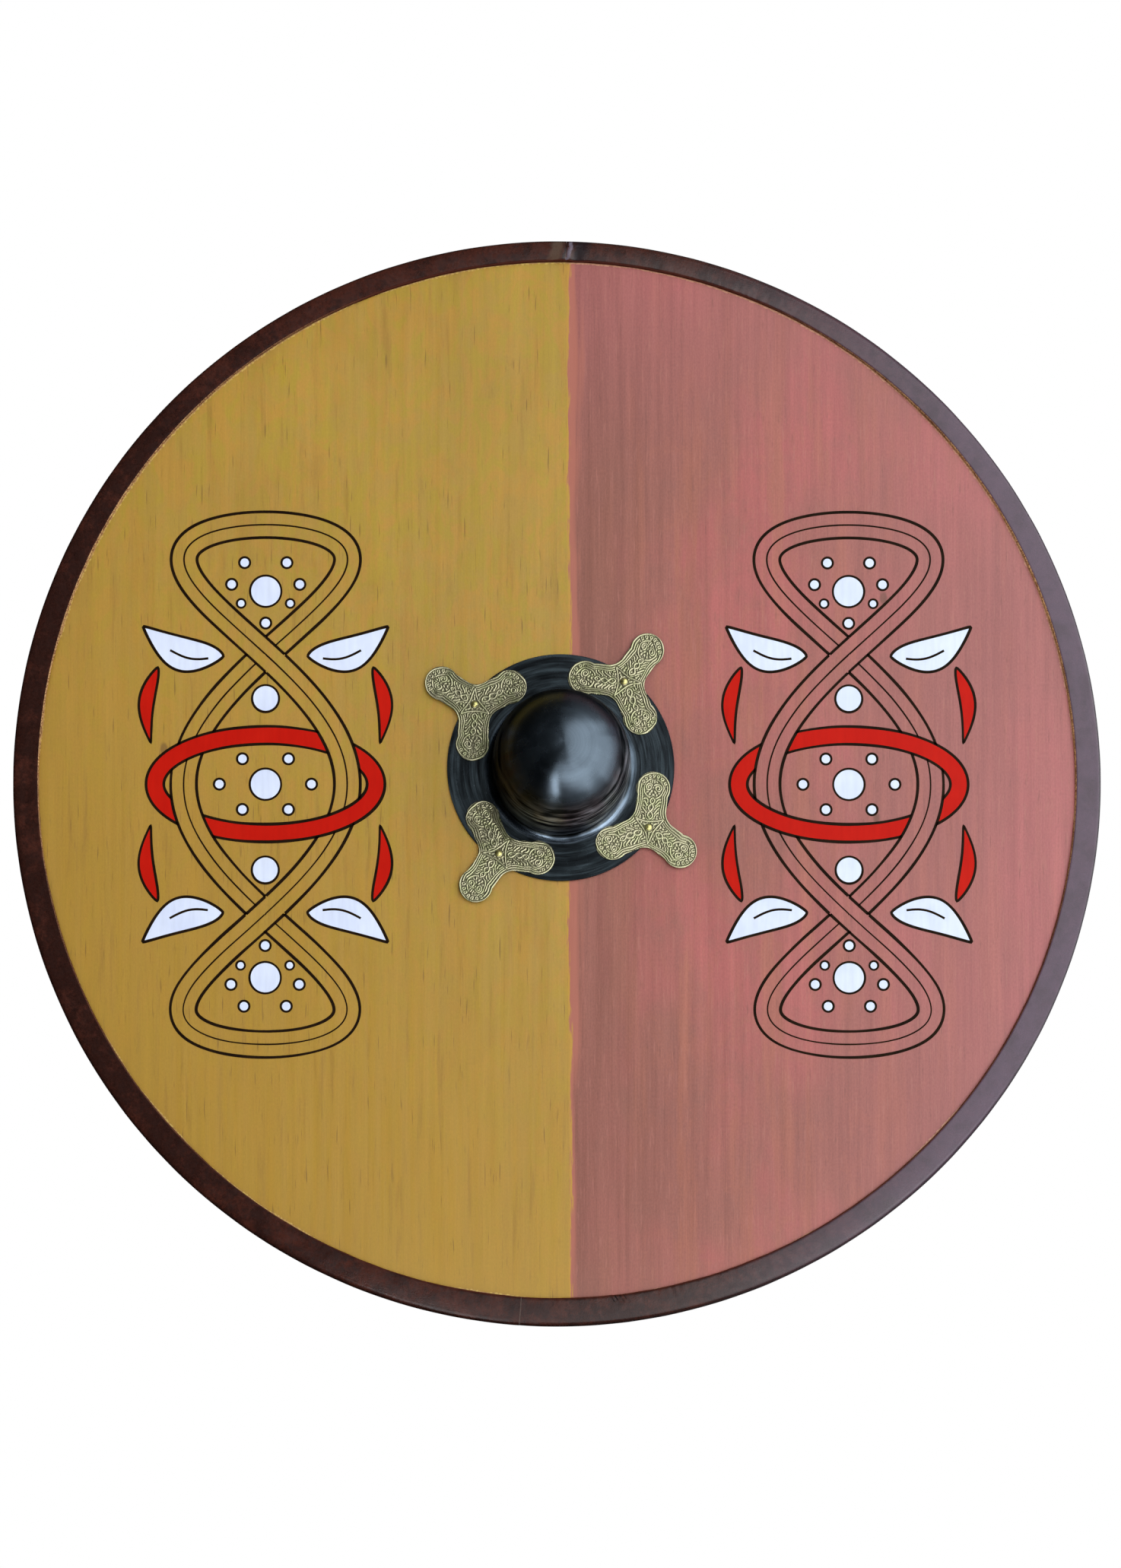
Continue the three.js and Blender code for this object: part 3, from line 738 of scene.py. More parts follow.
def turn_outward(mesh):
    """Turns every face of a closed mesh so that it looks out."""
    shell = bmesh.new()
    shell.from_mesh(mesh)
    bmesh.ops.recalc_face_normals(shell, faces=shell.faces)
    shell.to_mesh(mesh)
    shell.free()
    mesh.update()


def make_piece(name, points, faces, finishes, node, crease=38, finish_of=None):
    """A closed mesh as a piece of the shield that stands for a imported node. Edges bent by more than
    crease degrees stay sharp."""
    mesh = new_mesh(name, points, faces, finishes, finish_of)
    turn_outward(mesh)
    mesh.polygons.foreach_set("use_smooth", [True] * len(mesh.polygons))
    mesh.set_sharp_from_angle(angle=math.radians(crease))
    piece = new_object(name, mesh)
    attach(piece, "root")
    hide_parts(node)
    return piece


def lathe(profile, segments, middle=(0.0, 0.0), closed=False):
    """A row of (radius, y) points turned about an axis along Y. Points on the axis stay single. A
    closed row is joined from its last point to its first."""
    points, rings = [], []
    for radius, y in profile:
        if radius < ON_AXIS:
            rings.append([len(points)] * segments)
            points.append((middle[0], y, middle[1]))
            continue
        rings.append(list(range(len(points), len(points) + segments)))
        for step in range(segments):
            angle = 2 * math.pi * step / segments
            points.append((middle[0] + radius * math.cos(angle), y, middle[1] + radius * math.sin(angle)))
    faces = []
    following = rings[1:] + (rings[:1] if closed else [])
    for low, high in zip(rings, following):
        for step in range(segments):
            after = (step + 1) % segments
            corners = [low[step], low[after], high[after], high[step]]
            distinct = list(dict.fromkeys(corners))
            if len(distinct) > 2:
                faces.append(distinct)
    return points, faces


def skin(rows, closed_ends=False):
    """Quads between closed rows of as many points each. The last row is joined to the first, or
    else both are capped."""
    count, width = len(rows), len(rows[0])
    points = [point for row in rows for point in row]
    faces = []
    for i in range(count if closed_ends else count - 1):
        here, there = i * width, ((i + 1) % count) * width
        for j in range(width):
            after = (j + 1) % width
            faces.append((here + j, here + after, there + after, there + j))
    if not closed_ends:
        faces.append(tuple(range(width)))
        faces.append(tuple(range((count - 1) * width, count * width)))
    return points, faces


def arc(centre, radii, start, end, steps):
    """Points on an ellipse's arc, both ends included. Angles are in degrees."""
    angles = np.radians(np.linspace(start, end, steps + 1))
    return [(centre[0] + radii[0] * math.cos(a), centre[1] + radii[1] * math.sin(a)) for a in angles]


def gather(parts):
    """Several (points, faces) pairs as one pair."""
    points, faces = [], []
    for part_points, part_faces in parts:
        start = len(points)
        points.extend(part_points)
        faces.extend(tuple(index + start for index in face) for face in part_faces)
    return points, faces


def carve(piece, cutters):
    """Takes the cutters, given as (points, faces) pairs, out of a piece."""
    mesh = new_mesh("cutter", *gather(cutters))
    turn_outward(mesh)
    cutter = new_object("cutter", mesh)
    boolean = piece.modifiers.new("holes", "BOOLEAN")
    boolean.operation = "DIFFERENCE"
    boolean.solver = "EXACT"
    boolean.object = cutter
    graph = bpy.context.evaluated_depsgraph_get()
    carved = bpy.data.meshes.new_from_object(piece.evaluated_get(graph))
    piece.modifiers.clear()
    piece.data = carved
    bpy.data.objects.remove(cutter)
    bpy.data.meshes.remove(mesh)


def ripple(x, y, z=0.37):
    """Smooth noise from about -1 to 1, the same in every run."""
    return noise.noise(Vector((x, y, z)))


def smooth_step(value, low, high):
    """A smooth rise from 0 at low to 1 at high, and held beyond."""
    share = min(max((value - low) / (high - low), 0.0), 1.0)
    return share * share * (3 - 2 * share)


def middle_of(node):
    """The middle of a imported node, seen from the front."""
    low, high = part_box(node)
    return ((low.x + high.x) / 2, (low.z + high.z) / 2)


# Sizes of the fasteners and their holes
SHANK_RADIUS = 1.3 * MM
HOLE_RADIUS = 1.5 * MM
HEAD_RADIUS = 2.3 * MM
TAIL_RADIUS = 2.2 * MM
WASHER_RADIUS = 5 * MM
WASHER_EASE = 0.25 * MM
SCREW_RADIUS = 1.8 * MM
SCREW_TAPER = 3 * MM
SCREW_HEAD_RADIUS = 3.8 * MM
SCREW_HEAD_DEPTH = 2.4 * MM
SCREW_SLACK = 0.2 * MM
SLOT_DEPTH = 1.0 * MM
SLOT_HALF_WIDTH = 0.5 * MM
SLOT_HALF_LENGTH = 5 * MM
OVERRUN = 1 * MM


def rivet_bores(front, back):
    """Cutters along the four rivets, as (points, faces) pairs."""
    profile = [(0, front), (HOLE_RADIUS, front), (HOLE_RADIUS, back), (0, back)]
    return [lathe(profile, 24, middle_of(f"rivet_{place}")) for place in MOUNT_ARMS]


# The board
BOARD_SEGMENTS = 288
BOARD_EASE = 3 * MM
HAND_HOLE_RADIUS = 51 * MM
HAND_HOLE_EASE = 0.6 * MM
PLY_GROOVE = 0.14 * MM
FACE_SHARES = (0.12, 0.25, 0.4, 0.55, 0.7, 0.85)
PAINTED_SIDE, BARE_SIDE, PLY_SIDE = 0, 1, 2


def board_rings(plies):
    """The board's section from the front of the hand hole round its edge and back, as rows of
    (share of the way from the hole to the edge, distance from that circle, y, finish)."""
    front, back = PAINT_FACE, BOARD_BACK
    hole_front, hole_back = front + HAND_HOLE_EASE, back - HAND_HOLE_EASE
    edge_ease, hole_ease = (BOARD_EASE, BOARD_EASE), (HAND_HOLE_EASE, HAND_HOLE_EASE)
    from_hole = arc((HAND_HOLE_EASE, hole_front), hole_ease, 180, 270, 3)[1:]
    round_front = arc((-BOARD_EASE, front + BOARD_EASE), edge_ease, -90, 0, 5)
    round_back = arc((-BOARD_EASE, back - BOARD_EASE), edge_ease, 0, 90, 5)
    into_hole = arc((HAND_HOLE_EASE, hole_back), hole_ease, 90, 180, 3)[:-1]
    rows = [(0, radius, y, PAINTED_SIDE) for radius, y in from_hole]
    rows += [(share, 0, front, PAINTED_SIDE) for share in FACE_SHARES]
    rows += [(1, radius, y, PAINTED_SIDE) for radius, y in round_front]
    rows += [(1, radius, y, BARE_SIDE) for radius, y in round_back]
    rows += [(share, 0, back, BARE_SIDE) for share in reversed(FACE_SHARES)]
    rows += [(0, radius, y, PLY_SIDE) for radius, y in into_hole]
    for ply in range(plies):
        start, end = (hole_back + (hole_front - hole_back) * seam / plies for seam in (ply, ply + 1))
        rows.append((0, PLY_GROOVE, start, PLY_SIDE))
        rows.append((0, 0, start * 0.8 + end * 0.2, PLY_SIDE))
        rows.append((0, 0, start * 0.2 + end * 0.8, PLY_SIDE))
    rows.append((0, PLY_GROOVE, hole_front, PLY_SIDE))
    return rows


def board_ring(share, offset, y):
    """One ring of the board's points. The hole and the edge have their own middles."""
    ring = []
    for step in range(BOARD_SEGMENTS):
        angle = 2 * math.pi * step / BOARD_SEGMENTS
        way = Vector((math.cos(angle), math.sin(angle)))
        near = way * (HAND_HOLE_RADIUS + offset)
        far = Vector(BOARD_MIDDLE) + way * (BOARD_RADIUS + offset)
        x, z = near.lerp(far, share)
        ring.append((x, y, z))
    return ring


def screw_pilots():
    """Cutters for the screws' tapered ends, which reach into the board's back."""
    radius, end = SCREW_RADIUS + SCREW_SLACK, BOARD_BACK + OVERRUN
    pilots = []
    for place in SCREW_SLOTS:
        node = f"grip_screw_{place}"
        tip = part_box(node)[0].y
        profile = [(0, tip - SCREW_SLACK), (radius, tip + SCREW_TAPER), (radius, end), (0, end)]
        pilots.append(lathe(profile, 24, middle_of(node)))
    return pilots


def make_board(scene):
    colours, sizes = scene.shield_colours, scene.shield_sizes
    rings = board_rings(sizes.ply_count)
    points, faces = skin([board_ring(share, offset, y) for share, offset, y, _ in rings], closed_ends=True)
    sides = [side for *_, side in rings for _ in range(BOARD_SEGMENTS)]
    finishes = [paint_finish(colours, sizes), bare_wood_finish(colours), ply_finish(colours, sizes)]
    board = make_piece("painted_board", points, faces, finishes, "board", finish_of=sides)
    carve(board, [*rivet_bores(PAINT_FACE - OVERRUN, BOARD_BACK + OVERRUN), *screw_pilots()])


# The painted design. A point is (across, up) from the design's middle, with across growing outward.
DESIGN_MIDDLE_UP = -12 * MM
DESIGN_MIDDLE_OUT = 214 * MM
FILL_HEIGHT = 0.05 * MM
LINE_HEIGHT = 0.09 * MM
STROKE_STEP = 1.1 * MM
LINE_WOBBLE = 0.2 * MM
SMALL_WOBBLE = 0.15 * MM
CHAIN_HALF_WIDTH = 60 * MM
CHAIN_HALF_HEIGHT = 191 * MM
CHAIN_CROSSING = 34 * MM
RING_HALF_WIDTH = 81 * MM
RING_HALF_HEIGHT = 36 * MM
RING_CROSSING = 24 * MM
SMALL_DOT = 8 * MM
DOT_OVAL = (33.75 * MM, 21.5 * MM)
LEAF_ROOT, LEAF_TIP = (31 * MM, 94 * MM), (90 * MM, 116 * MM)
LEAF_BULGE, LEAF_BEND = 12.5 * MM, 9 * MM
VEIN_ROOT, VEIN_TIP = (42 * MM, 92.5 * MM), (70 * MM, 98.5 * MM)
VEIN_SAG = 3 * MM
HORN_ROOT, HORN_TIP = (79 * MM, 86 * MM), (84 * MM, 30 * MM)
HORN_BULGE, HORN_BEND = 5.5 * MM, 6 * MM


def evenly(curve, closed=True, step=STROKE_STEP):
    """A dense row of points walked again at even steps."""
    ends = np.vstack([curve, curve[:1]]) if closed else curve
    lengths = np.hypot(*np.diff(ends, axis=0).T)
    walked = np.concatenate([[0], np.cumsum(lengths)])
    count = max(int(walked[-1] / step), 8)
    stops = np.linspace(0, walked[-1], count, endpoint=not closed)
    return np.stack([np.interp(stops, walked, ends[:, k]) for k in (0, 1)], axis=1)


def sideways(path, closed=True):
    """Unit vectors at right angles to a path."""
    if closed:
        run = np.roll(path, -1, axis=0) - np.roll(path, 1, axis=0)
    else:
        run = np.gradient(path, axis=0)
    run /= np.hypot(*run.T)[:, None]
    return np.stack([-run[:, 1], run[:, 0]], axis=1)


def distance_to(spots, path):
    """The distance from each spot to the nearest point of a path, in groups to save memory."""
    group = 2000
    found = []
    for start in range(0, len(spots), group):
        gap = spots[start:start + group, None, :] - path[None, :, :]
        found.append(np.sqrt((gap ** 2).sum(axis=2)).min(axis=1))
    return np.concatenate(found)


def hand_drawn(path, aside, wobble, closed):
    """A path that drifts as a brush does, and how wide the brush spreads along it."""
    count = len(path)
    walked = np.arange(count) * STROKE_STEP
    drift = np.array([ripple(step * 45, float(count) * 0.37) for step in walked])
    press = np.array([ripple(step * 28, 5.1 + float(count) * 0.21) for step in walked])
    if closed:
        fade = np.sin(np.pi * np.arange(count) / count) ** 0.5
        drift, press = drift * fade, press * fade
    return path + aside * (drift * wobble)[:, None], 1 + 0.30 * press


def hidden_under(spots, path, half_width, middle, reach):
    """Which spots within reach of the middle lie under a painted path."""
    near = np.hypot(*(spots - np.array(middle)).T) < reach
    hidden = np.zeros(len(spots), bool)
    if near.any():
        hidden[near] = distance_to(spots[near], path) < half_width
    return hidden


def stroke(path, width, closed=True, covers=(), lanes=2, wobble=0.0):
    """A brush stroke as (points, quads), left out where a cover hides it. Each cover is a row of
    what hidden_under takes after its spots."""
    aside = sideways(path, closed)
    count = len(path)
    spread = np.ones(count)
    if wobble:
        path, spread = hand_drawn(path, aside, wobble, closed)
    lanes_at = np.linspace(-width / 2, width / 2, lanes + 1)
    grid = path[:, None, :] + aside[:, None, :] * (lanes_at[None, :] * spread[:, None])[:, :, None]
    after = np.roll(grid, -1, axis=0)
    middles = (grid[:, :-1] + grid[:, 1:] + after[:, :-1] + after[:, 1:]) / 4
    keep = np.ones((count, lanes), bool)
    if not closed:
        keep[-1] = False
    for cover in covers:
        keep &= ~hidden_under(middles.reshape(-1, 2), *cover).reshape(keep.shape)
    index = np.arange(count * (lanes + 1)).reshape(count, lanes + 1)
    quads = []
    for i, j in zip(*np.nonzero(keep)):
        k = (i + 1) % count
        quads.append((index[i, j], index[i, j + 1], index[k, j + 1], index[k, j]))
    return grid.reshape(-1, 2), quads


def patch(outline):
    """A filled outline as one many-sided face."""
    return outline, [tuple(range(len(outline)))]


def chain_path():
    """The middle line of the ribbon, which crosses itself twice."""
    turn = np.linspace(0, 2 * np.pi, 4000, endpoint=False)
    return evenly(np.stack([CHAIN_HALF_WIDTH * np.sin(3 * turn), CHAIN_HALF_HEIGHT * np.cos(turn)], axis=1))


def oval_path(middle, half_width, half_height):
    """An upright or lying oval as an even row of points."""
    turn = np.linspace(0, 2 * np.pi, 1500, endpoint=False)
    oval = np.stack([middle[0] + half_width * np.cos(turn), middle[1] + half_height * np.sin(turn)], axis=1)
    return evenly(oval)


def leaf_path(root, tip, bulge, bend):
    """A pointed leaf from its root to its tip. bulge is its half width, and bend lifts its middle."""
    root, tip = np.array(root), np.array(tip)
    share = np.linspace(0, 1, 220)
    axis = tip - root
    normal = np.array([-axis[1], axis[0]]) / np.hypot(*axis)
    middle = root + axis * share[:, None] + normal * (bend * np.sin(np.pi * share))[:, None]
    half = bulge * np.sin(np.pi * share ** 0.8) ** 0.9
    upper, lower = middle + normal * half[:, None], middle - normal * half[:, None]
    return evenly(np.vstack([upper, lower[::-1][1:-1]]))


def vein_path(side, up):
    """The sagging line inside one of the four leaves."""
    root, tip = mirrored(VEIN_ROOT, side, up), mirrored(VEIN_TIP, side, up)
    vein = np.linspace(root, tip, 40)
    vein[:, 1] -= up * VEIN_SAG * np.sin(np.linspace(0, np.pi, 40))
    return evenly(vein, closed=False)


def mirrored(point, side, up):
    """A point in another quarter of the design. side and up are -1 or 1."""
    return (side * point[0], up * point[1])


def crossings(first, second, apart):
    """Places where two paths, or one path with itself, come together, in order along the first."""
    same_strand, far_away = 30, 1.0
    places = []
    for i in range(len(first)):
        gap = np.hypot(*(second - first[i]).T)
        if first is second:
            away = np.abs(np.arange(len(second)) - i)
            gap[np.minimum(away, len(second) - away) < same_strand] = far_away
        meets = gap.min() < STROKE_STEP * 0.75
        if meets and all(np.hypot(*(first[i] - spot)) > apart for spot in places):
            places.append(first[i])
    return places


def chain_crossings(chain):
    """The chain's crossings with itself as (strand on top, strand below, place). The strand that
    rises to the right is on top in the upper half and below in the lower half."""
    run = np.gradient(chain, axis=0)
    found = []
    for place in crossings(chain, chain, 40 * MM):
        half = 1 if place[1] > 0 else -1
        near = np.hypot(*(chain - place).T) < CHAIN_CROSSING
        over = near & (run[:, 0] * run[:, 1] * half > 0)
        under = near & ~over
        found.append((chain[over], chain[under], place))
    return found


def ring_crossings(ring, chain, sizes):
    """Covers where the ring passes over the chain, and where the chain passes over the ring."""
    ring_on_top, chain_on_top = [], []
    for place in crossings(ring, chain, 15 * MM):
        if place[0] * place[1] > 0:
            ring_on_top.append((ring, sizes.ring_width / 2, place, RING_CROSSING))
        else:
            chain_on_top.append((chain, sizes.ribbon_width / 2, place, RING_CROSSING))
    return ring_on_top, chain_on_top


def ribbon_line(chain, offset, width, half_ribbon, self_crossings, ring_on_top):
    """One line along the chain at an offset from its middle, broken where the ring or the chain's
    own other strand passes over it."""
    edge = evenly(chain + sideways(chain) * offset)
    points, quads = stroke(edge, width, covers=ring_on_top, wobble=LINE_WOBBLE)
    middles = np.array([points[list(quad)].mean(axis=0) for quad in quads])
    keep = np.ones(len(quads), bool)
    for over, under, place in self_crossings:
        near = np.hypot(*(middles - place).T) < CHAIN_CROSSING
        from_over = distance_to(middles[near], over)
        from_under = distance_to(middles[near], under)
        on_under = np.abs(from_under - abs(offset)) < np.abs(from_over - abs(offset))
        keep[near] &= ~(on_under & (from_over < half_ribbon))
    return points, [quad for quad, kept in zip(quads, keep) if kept]


def dot_places(largest):
    """The white dots as (middle, diameter) rows: one in the middle with an oval of small ones round
    it, and a group in each end of the chain."""
    dots = [((0, 0), largest)]
    for angle in np.radians(range(0, 360, 60)):
        dots.append(((DOT_OVAL[0] * math.cos(angle), DOT_OVAL[1] * math.sin(angle)), SMALL_DOT))
    for up in (-1, 1):
        dots.append(((0, up * 63 * MM), largest * 0.86))
        dots.append(((0, up * 142 * MM), largest))
        dots.append(((0, up * 118.5 * MM), SMALL_DOT))
        for side in (-1, 1):
            dots.append((mirrored((18 * MM, 133 * MM), side, up), SMALL_DOT * 0.8))
            dots.append((mirrored((25 * MM, 147 * MM), side, up), SMALL_DOT))
            dots.append((mirrored((15.5 * MM, 163 * MM), side, up), SMALL_DOT))
    return dots


def painted_design(sizes):
    """Strokes and patches of one half's knotwork, by paint: black, white and bright red."""
    line, half_ribbon, half_ring = sizes.line_width, sizes.ribbon_width / 2, sizes.ring_width / 2
    chain = chain_path()
    ring = oval_path((0, 0), RING_HALF_WIDTH, RING_HALF_HEIGHT)
    self_crossings = chain_crossings(chain)
    ring_on_top, chain_on_top = ring_crossings(ring, chain, sizes)
    black, white = [], []
    for offset, width in ((-half_ribbon, line), (0, line * 0.55), (half_ribbon, line)):
        black.append(ribbon_line(chain, offset, width, half_ribbon, self_crossings, ring_on_top))
    red = [stroke(ring, sizes.ring_width - line * 0.5, covers=chain_on_top, lanes=6)]
    for side in (-1, 1):
        edge = ring + sideways(ring) * side * half_ring
        black.append(stroke(edge, line, covers=chain_on_top, wobble=LINE_WOBBLE))
    for middle, diameter in dot_places(sizes.dot_diameter):
        circle = oval_path(middle, diameter / 2, diameter / 2)
        white.append(patch(circle))
        black.append(stroke(circle, line * 0.8, wobble=SMALL_WOBBLE))
    for up, side in ((-1, -1), (-1, 1), (1, -1), (1, 1)):
        root, tip = mirrored(LEAF_ROOT, side, up), mirrored(LEAF_TIP, side, up)
        leaf = leaf_path(root, tip, LEAF_BULGE, -side * up * LEAF_BEND)
        white.append(patch(leaf))
        black.append(stroke(leaf, line, wobble=LINE_WOBBLE))
        black.append(stroke(vein_path(side, up), line * 0.8, closed=False))
        root, tip = mirrored(HORN_ROOT, side, up), mirrored(HORN_TIP, side, up)
        horn = leaf_path(root, tip, HORN_BULGE, side * up * HORN_BEND)
        red.append(patch(horn))
        black.append(stroke(horn, line * 0.9, wobble=SMALL_WOBBLE))
    return black, white, red


def film(parts, height, side):
    """Flat parts of one side's design as thin closed layers of paint on the board's face. Their faces
    are sorted, because extruding leaves them in an order that changes from run to run."""
    shell = bmesh.new()
    for points, faces in parts:
        made = {}
        for index in sorted({int(index) for face in faces for index in face}):
            across, up = points[index]
            x = BOARD_MIDDLE[0] + side * (DESIGN_MIDDLE_OUT + across)
            made[index] = shell.verts.new((x, PAINT_FACE, DESIGN_MIDDLE_UP + up))
        for face in faces:
            shell.faces.new([made[int(index)] for index in face])
    lifted = bmesh.ops.extrude_face_region(shell, geom=shell.faces[:])
    tops = [item for item in lifted["geom"] if isinstance(item, bmesh.types.BMVert)]
    bmesh.ops.translate(shell, verts=tops, vec=(0, -height, 0))
    bmesh.ops.recalc_face_normals(shell, faces=shell.faces)
    shell.verts.index_update()
    points = [tuple(vert.co) for vert in shell.verts]
    faces = sorted([vert.index for vert in face.verts] for face in shell.faces)
    shell.free()
    return points, faces


def make_artwork(scene):
    colours = scene.shield_colours
    finishes = [
        brush_finish("black_line_paint", colours.line, (1.5, 1.5, 1.4)),
        brush_finish("white_design_paint", colours.white, (0.93, 0.94, 0.98)),
        brush_finish("bright_red_paint", colours.bright_red, (1.06, 1.3, 1.3)),
    ]
    layers = list(zip(painted_design(scene.shield_sizes), (LINE_HEIGHT, FILL_HEIGHT, FILL_HEIGHT)))
    for name, side in (("design_left", -1), ("design_right", 1)):
        films = [film(parts, height, side) for parts, height in layers]
        paints = [paint for paint, (_, faces) in enumerate(films) for _ in faces]
        mesh = new_mesh(name, *gather(films), finishes, paints)
        mesh.update()
        design = new_object(name, mesh)
        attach(design, "root")


# The leather edging. Angles are in degrees from +X towards +Z.
EDGING_TOP = 17 * MM
EDGING_BOTTOM = 21.5 * MM
EDGING_SIDE = 20 * MM
EDGING_BEHIND = 16 * MM
EDGING_STEP = 0.22
LEATHER = 2 * MM
BEND = 5 * MM
ROUND_OFF = 0.8 * MM
CROWN = 0.9 * MM
UNEVENNESS = 0.10 * MM
SHRINKAGE = 0.12 * MM
TOP_JOINT, BOTTOM_JOINT = 89.0, 266.0
JOINT_GAP = 0.1 * MM
PUCKERS_AT = -83.2
PUCKER_PITCH = 3.4 * MM
PUCKER_REACH = 6 * MM
PUCKER_SINK = 0.9 * MM
PUCKER_LEAN = -0.6


def edging_width(angle):
    """How wide the leather lies on the front at an angle in radians."""
    upright = EDGING_TOP if math.sin(angle) > 0 else EDGING_BOTTOM
    return EDGING_SIDE * math.cos(angle) ** 2 + upright * math.sin(angle) ** 2


def crease_zone(degrees):
    """How strongly the leather is creased: most at the lower right, least at the left."""
    lower_right = 0.9 * math.exp(-(((degrees + 80) / 14) ** 2))
    upper_right = 0.5 * math.exp(-(((degrees - 60) / 18) ** 2))
    patches = 0.35 + 0.65 * smooth_step(ripple(degrees * 0.19, 3.3), -0.2, 0.4)
    return (0.30 + lower_right + upper_right) * patches


def sunk(degrees, run, radius, inner, bend_at, pucker_depth):
    """How far the leather's front has sunk at a radius: creases and pinched folds that start at its
    cut edge, a crown and an unevenness. run is the way along the rim in mm."""
    share = min((radius - inner) / (bend_at - inner), 1.0)
    slant = ripple(run * 0.02, 6.6) * 3
    crease = max(ripple(run * 0.42 + share * slant, share * 0.6), -0.15) + 0.15
    creased = pucker_depth * crease_zone(degrees) * crease * (1 - share) ** 1.4
    beside = math.radians(degrees - PUCKERS_AT) * RIM_RADIUS
    leant = beside + (radius - inner) * PUCKER_LEAN
    fold = max(math.cos(2 * math.pi * leant / PUCKER_PITCH), 0.0) * math.exp(-((beside / PUCKER_REACH) ** 2))
    pinched = PUCKER_SINK * fold * max(1 - share * 2.2, 0.0)
    uneven = UNEVENNESS * (1 + ripple(run * 0.07, radius / MM * 0.07))
    return creased + pinched + CROWN * share ** 2 + uneven


def edging_section(degrees, sizes, lift_at):
    """One cross section of the edging as (radius, y) points: out along its front, round the rim, in
    along its back, and then round the board again."""
    angle = math.radians(degrees)
    run = angle * RIM_RADIUS / MM
    wave = 0.7 * ripple(run * 0.018, 1.7) + 0.45 * ripple(run * 0.085, 4.2)
    inner = RIM_RADIUS - edging_width(angle) + sizes.edge_wave * wave
    behind = RIM_RADIUS - EDGING_BEHIND + sizes.edge_wave * 1.3 * ripple(run * 0.025, 8.8)
    front_y, back_y = PAINT_FACE - LEATHER, BOARD_BACK + LEATHER
    bend_at = RIM_RADIUS - BEND
    lift = lift_at(run)

    def front_at(radius):
        return front_y + sunk(degrees, run, radius, inner, bend_at, sizes.pucker_depth)

    edge_y = front_at(inner) - lift
    section = [
        (inner, PAINT_FACE),
        (inner, edge_y + ROUND_OFF),
        (inner + 0.25 * ROUND_OFF, edge_y + 0.3 * ROUND_OFF),
    ]
    for share in np.linspace(0, 1, 13):
        radius = inner + ROUND_OFF + (bend_at - inner - ROUND_OFF) * share
        section.append((radius, front_at(radius) - lift * (1 - share) ** 0.5))
    reach = BEND - SHRINKAGE * (1 + ripple(run * 0.05, 9.1))
    front_radii = (reach, front_y + BEND - section[-1][1])
    section += arc((bend_at, front_y + BEND), front_radii, -90, 0, 8)[1:]
    section += arc((bend_at, back_y - BEND), (reach, BEND), 0, 90, 7)
    for share in np.linspace(0, 1, 7)[1:]:
        radius = bend_at + (behind + ROUND_OFF - bend_at) * share
        section.append((radius, back_y - SHRINKAGE * (1 + ripple(run * 0.08, radius / MM * 0.09))))
    section += [(behind, back_y - ROUND_OFF), (behind, BOARD_BACK)]
    inside = BEND - LEATHER
    section += arc((bend_at, BOARD_BACK - inside), (inside, inside), 90, 0, 4)
    section += arc((bend_at, PAINT_FACE + inside), (inside, inside), 0, -90, 4)
    return section


def edging_strip(start, end, sizes, lift_at):
    """One strip of the edging between two joints."""
    gap = math.degrees(JOINT_GAP / RIM_RADIUS) / 2
    count = int((end - start) / EDGING_STEP)
    rows = []
    for degrees in np.linspace(start + gap, end - gap, count + 1):
        angle = math.radians(degrees)
        way_x, way_z = math.cos(angle), math.sin(angle)
        section = edging_section(degrees, sizes, lift_at)
        rows.append([(BOARD_MIDDLE[0] + r * way_x, y, BOARD_MIDDLE[1] + r * way_z) for r, y in section])
    return skin(rows)


def swollen_end(run):
    """How far the left strip stands out near the top joint. Its very end is pressed down."""
    away = run - math.radians(TOP_JOINT) * RIM_RADIUS / MM
    return 0.8 * MM * smooth_step(14 - away, 0, 10) * smooth_step(away, 0, 2.5)


def ridged_end(run):
    """How far the right strip stands out near the top joint: a narrow ridge, then a dip."""
    away = math.radians(TOP_JOINT) * RIM_RADIUS / MM - run
    ridge = 1.1 * MM * math.exp(-(((away - 2.0) / 1.5) ** 2))
    return ridge - 0.35 * MM * math.exp(-(((away - 8) / 3.5) ** 2))


def make_edging(scene):
    finish = leather_finish(scene.shield_colours)
    for node, start, end, lift_at in (
        ("rim_leather_left", TOP_JOINT, BOTTOM_JOINT, swollen_end),
        ("rim_leather_right", BOTTOM_JOINT - 360, TOP_JOINT, ridged_end),
    ):
        points, faces = edging_strip(start, end, scene.shield_sizes, lift_at)
        make_piece(f"{node}_strip", points, faces, [finish], node, crease=50)


# The boss
BOSS_SEGMENTS = 224
SHEET = 1.6 * MM
WALL_RADIUS = 50.2 * MM
WALL_TOP_RADIUS = 49.8 * MM
FOOT_RADIUS = 4 * MM
FLANGE_ROLL = 0.5 * MM
DOME_BASE = PAINT_FACE - 17 * MM
DOME_HEIGHT = 50 * MM


def turning_marks(outside, flange_from, depth):
    """The outside's points sunk unevenly by the marks of spinning, half as deep near the apex. The
    end of the round foot, where the flange begins, stays smooth."""
    marked = []
    for i, (radius, y) in enumerate(outside):
        if 0 < i < flange_from - 2:
            share = 0.5 if radius < 5 * MM else 1
            radius -= depth * (1 + ripple(i * 0.83, 2.2)) * share
        elif i > flange_from + 2:
            y += depth * (1 + ripple(i * 0.9, 7.7))
        marked.append((radius, y))
    marked[0] = (0.0, marked[0][1])
    return marked


